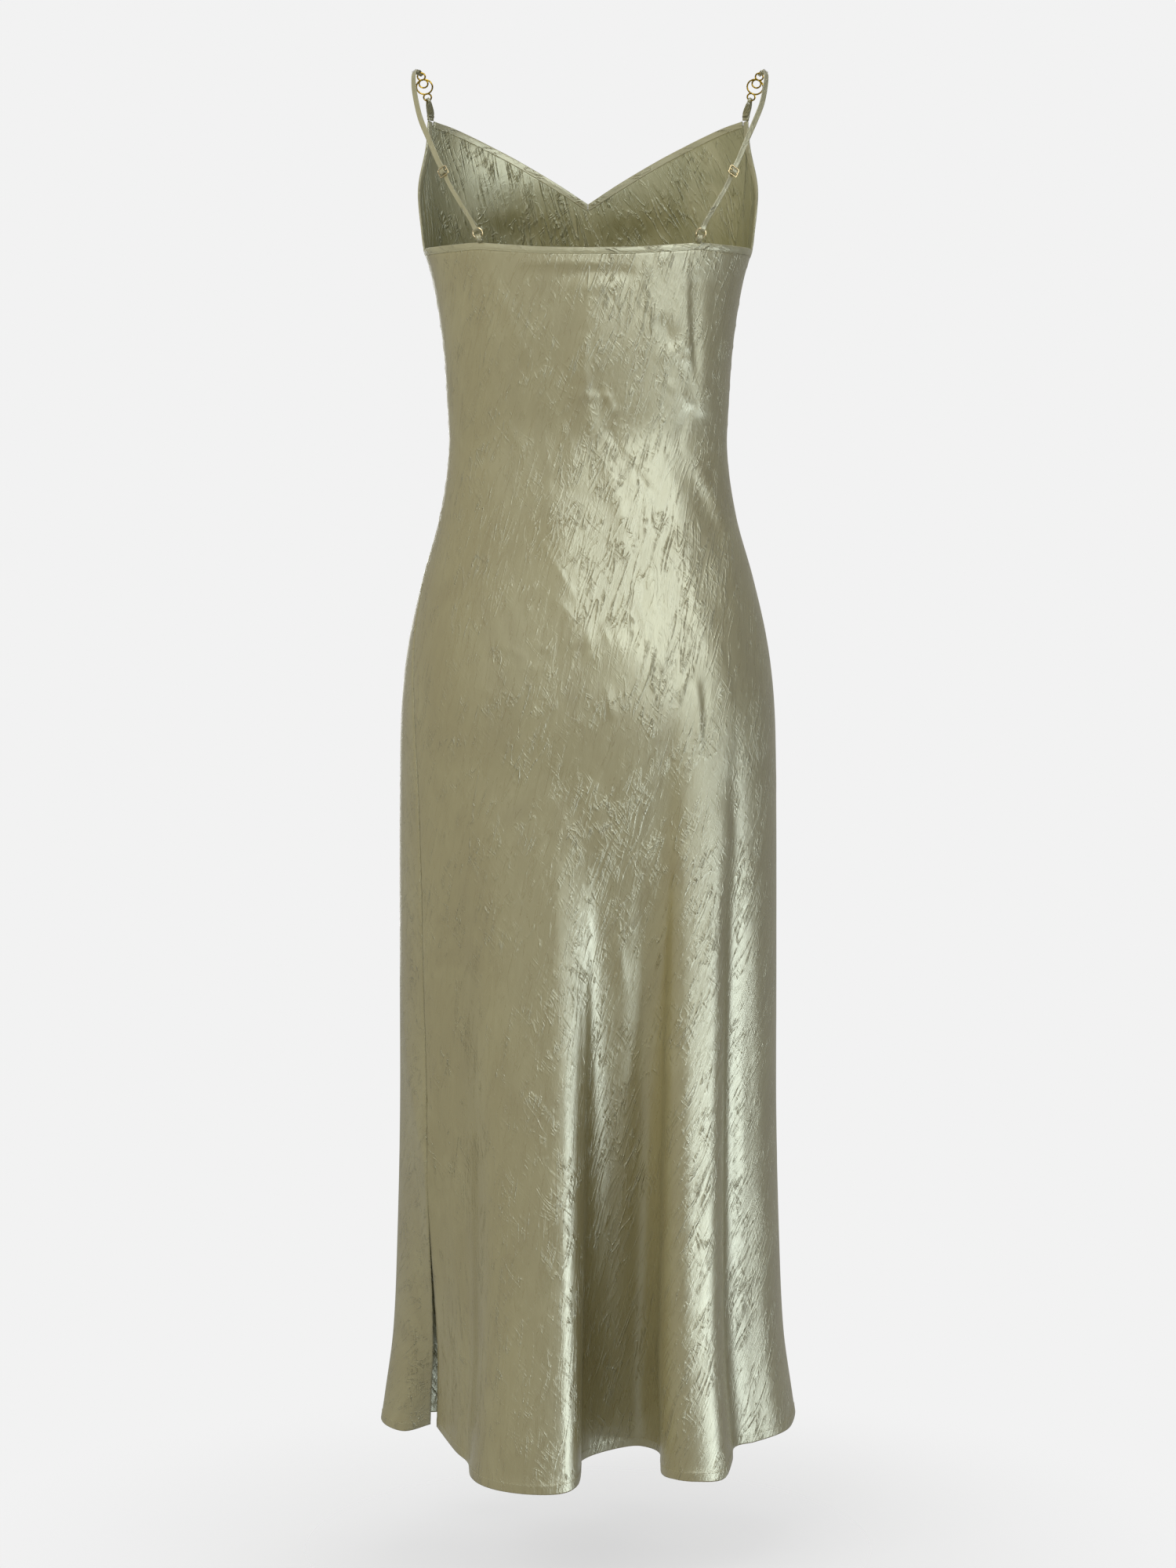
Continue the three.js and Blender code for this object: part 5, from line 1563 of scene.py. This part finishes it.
# %% Soft boxes
SOFT_BOXES = [
    # name, place (m), width, height, watts, what it lights
    ("shine on the back", (1.46, -2.5, 1.0), 2.54, 3.0, 95, "glossy"),
    ("shine on the folds", (2.62, -1.17, -1.35), 1.9, 1.3, 48, "glossy"),
    ("shine on the front", (-0.5, 2.9, 0.3), 1.0, 2.8, 34, "glossy"),
    ("soft fill behind", (-1.5, -2.3, 0.6), 2.2, 2.2, 56, "diffuse"),
    ("soft fill in front", (1.4, 2.5, 0.5), 2.2, 2.2, 52, "diffuse"),
    ("top", (0.2, 0.6, 2.2), 2.4, 2.0, 12, "both"),
]
AIM = (0, 0, -0.6)


def add_soft_box(name, place, width, height, watts, lights):
    data = bpy.data.lights.new(name, "AREA")
    data.shape = "RECTANGLE"
    data.size, data.size_y = width, height
    data.energy = watts
    box = bpy.data.objects.new(name, data)
    box.location = place
    away = np.array(place) - np.array(AIM)
    flat = math.hypot(away[0], away[1])
    box.rotation_euler = (math.atan2(flat, away[2]), 0, math.atan2(away[0], -away[1]))
    box.visible_diffuse = lights != "glossy"
    box.visible_glossy = lights != "diffuse"
    bpy.context.scene.collection.objects.link(box)


for row in SOFT_BOXES:
    add_soft_box(*row)
print("soft boxes:", [row[0] for row in SOFT_BOXES])

# %% Background
BACKGROUND = "#f2f2f2"
AMBIENT = 0.42


def add_background():
    world = bpy.data.worlds.new("studio")
    world.use_nodes = True
    tree = world.node_tree
    tree.nodes.clear()
    seen = add(tree, "ShaderNodeBackground", {}, {"Color": linear(BACKGROUND), "Strength": 1.0})
    lit = add(tree, "ShaderNodeBackground", {}, {"Color": (1, 1, 1, 1), "Strength": AMBIENT})
    path = add(tree, "ShaderNodeLightPath")
    both = add(tree, "ShaderNodeMixShader", {}, {}, {"Fac": path.outputs["Is Camera Ray"]})
    tree.links.new(lit.outputs[0], both.inputs[1])
    tree.links.new(seen.outputs[0], both.inputs[2])
    add(tree, "ShaderNodeOutputWorld", links={"Surface": both.outputs[0]})
    bpy.context.scene.world = world
    bpy.context.scene.view_settings.view_transform = "Standard"


add_background()
print("background", BACKGROUND, "ambient", AMBIENT)

# %% [markdown]
# The floor is a pale disc under the hem. It fades out towards its rim, so that it meets the
# background with no line.

# %% Floor
FLOOR_DOWN = 1330
FLOOR_RADIUS = 620


def floor_material():
    material, tree = new_material("matt_white_paint")
    place = add(tree, "ShaderNodeTexCoord").outputs["Object"]
    out = add(tree, "ShaderNodeVectorMath", {"operation": "LENGTH"}, {}, {"Vector": place})
    fade = add(tree, "ShaderNodeMapRange", {"interpolation_type": "SMOOTHSTEP"}, {
        "From Min": 0.25 * FLOOR_RADIUS * MM,
        "From Max": FLOOR_RADIUS * MM,
        "To Min": 0.35,
        "To Max": 0.0,
    }, {"Value": out.outputs["Value"]})
    paint = add(tree, "ShaderNodeBsdfPrincipled", {}, {
        "Base Color": linear("#dedede"), "Roughness": 0.8,
    })
    clear = add(tree, "ShaderNodeBsdfTransparent")
    both = add(tree, "ShaderNodeMixShader", {}, {}, {"Fac": fade.outputs[0]})
    tree.links.new(clear.outputs[0], both.inputs[1])
    tree.links.new(paint.outputs[0], both.inputs[2])
    finish_material(tree, both)
    return material


def add_floor(corners=64):
    turns = np.linspace(0, 2 * np.pi, corners, endpoint=False)
    rim = np.stack([np.cos(turns), np.sin(turns), 0 * turns], axis=-1) * FLOOR_RADIUS
    mesh = bpy.data.meshes.new("floor")
    mesh.from_pydata((rim * MM).tolist(), [], [tuple(range(corners))])
    mesh.materials.append(floor_material())
    floor = bpy.data.objects.new("floor", mesh)
    floor.location = (0, 0, -FLOOR_DOWN * MM)
    bpy.context.scene.collection.objects.link(floor)


add_floor()
print("floor at", -FLOOR_DOWN, "mm")
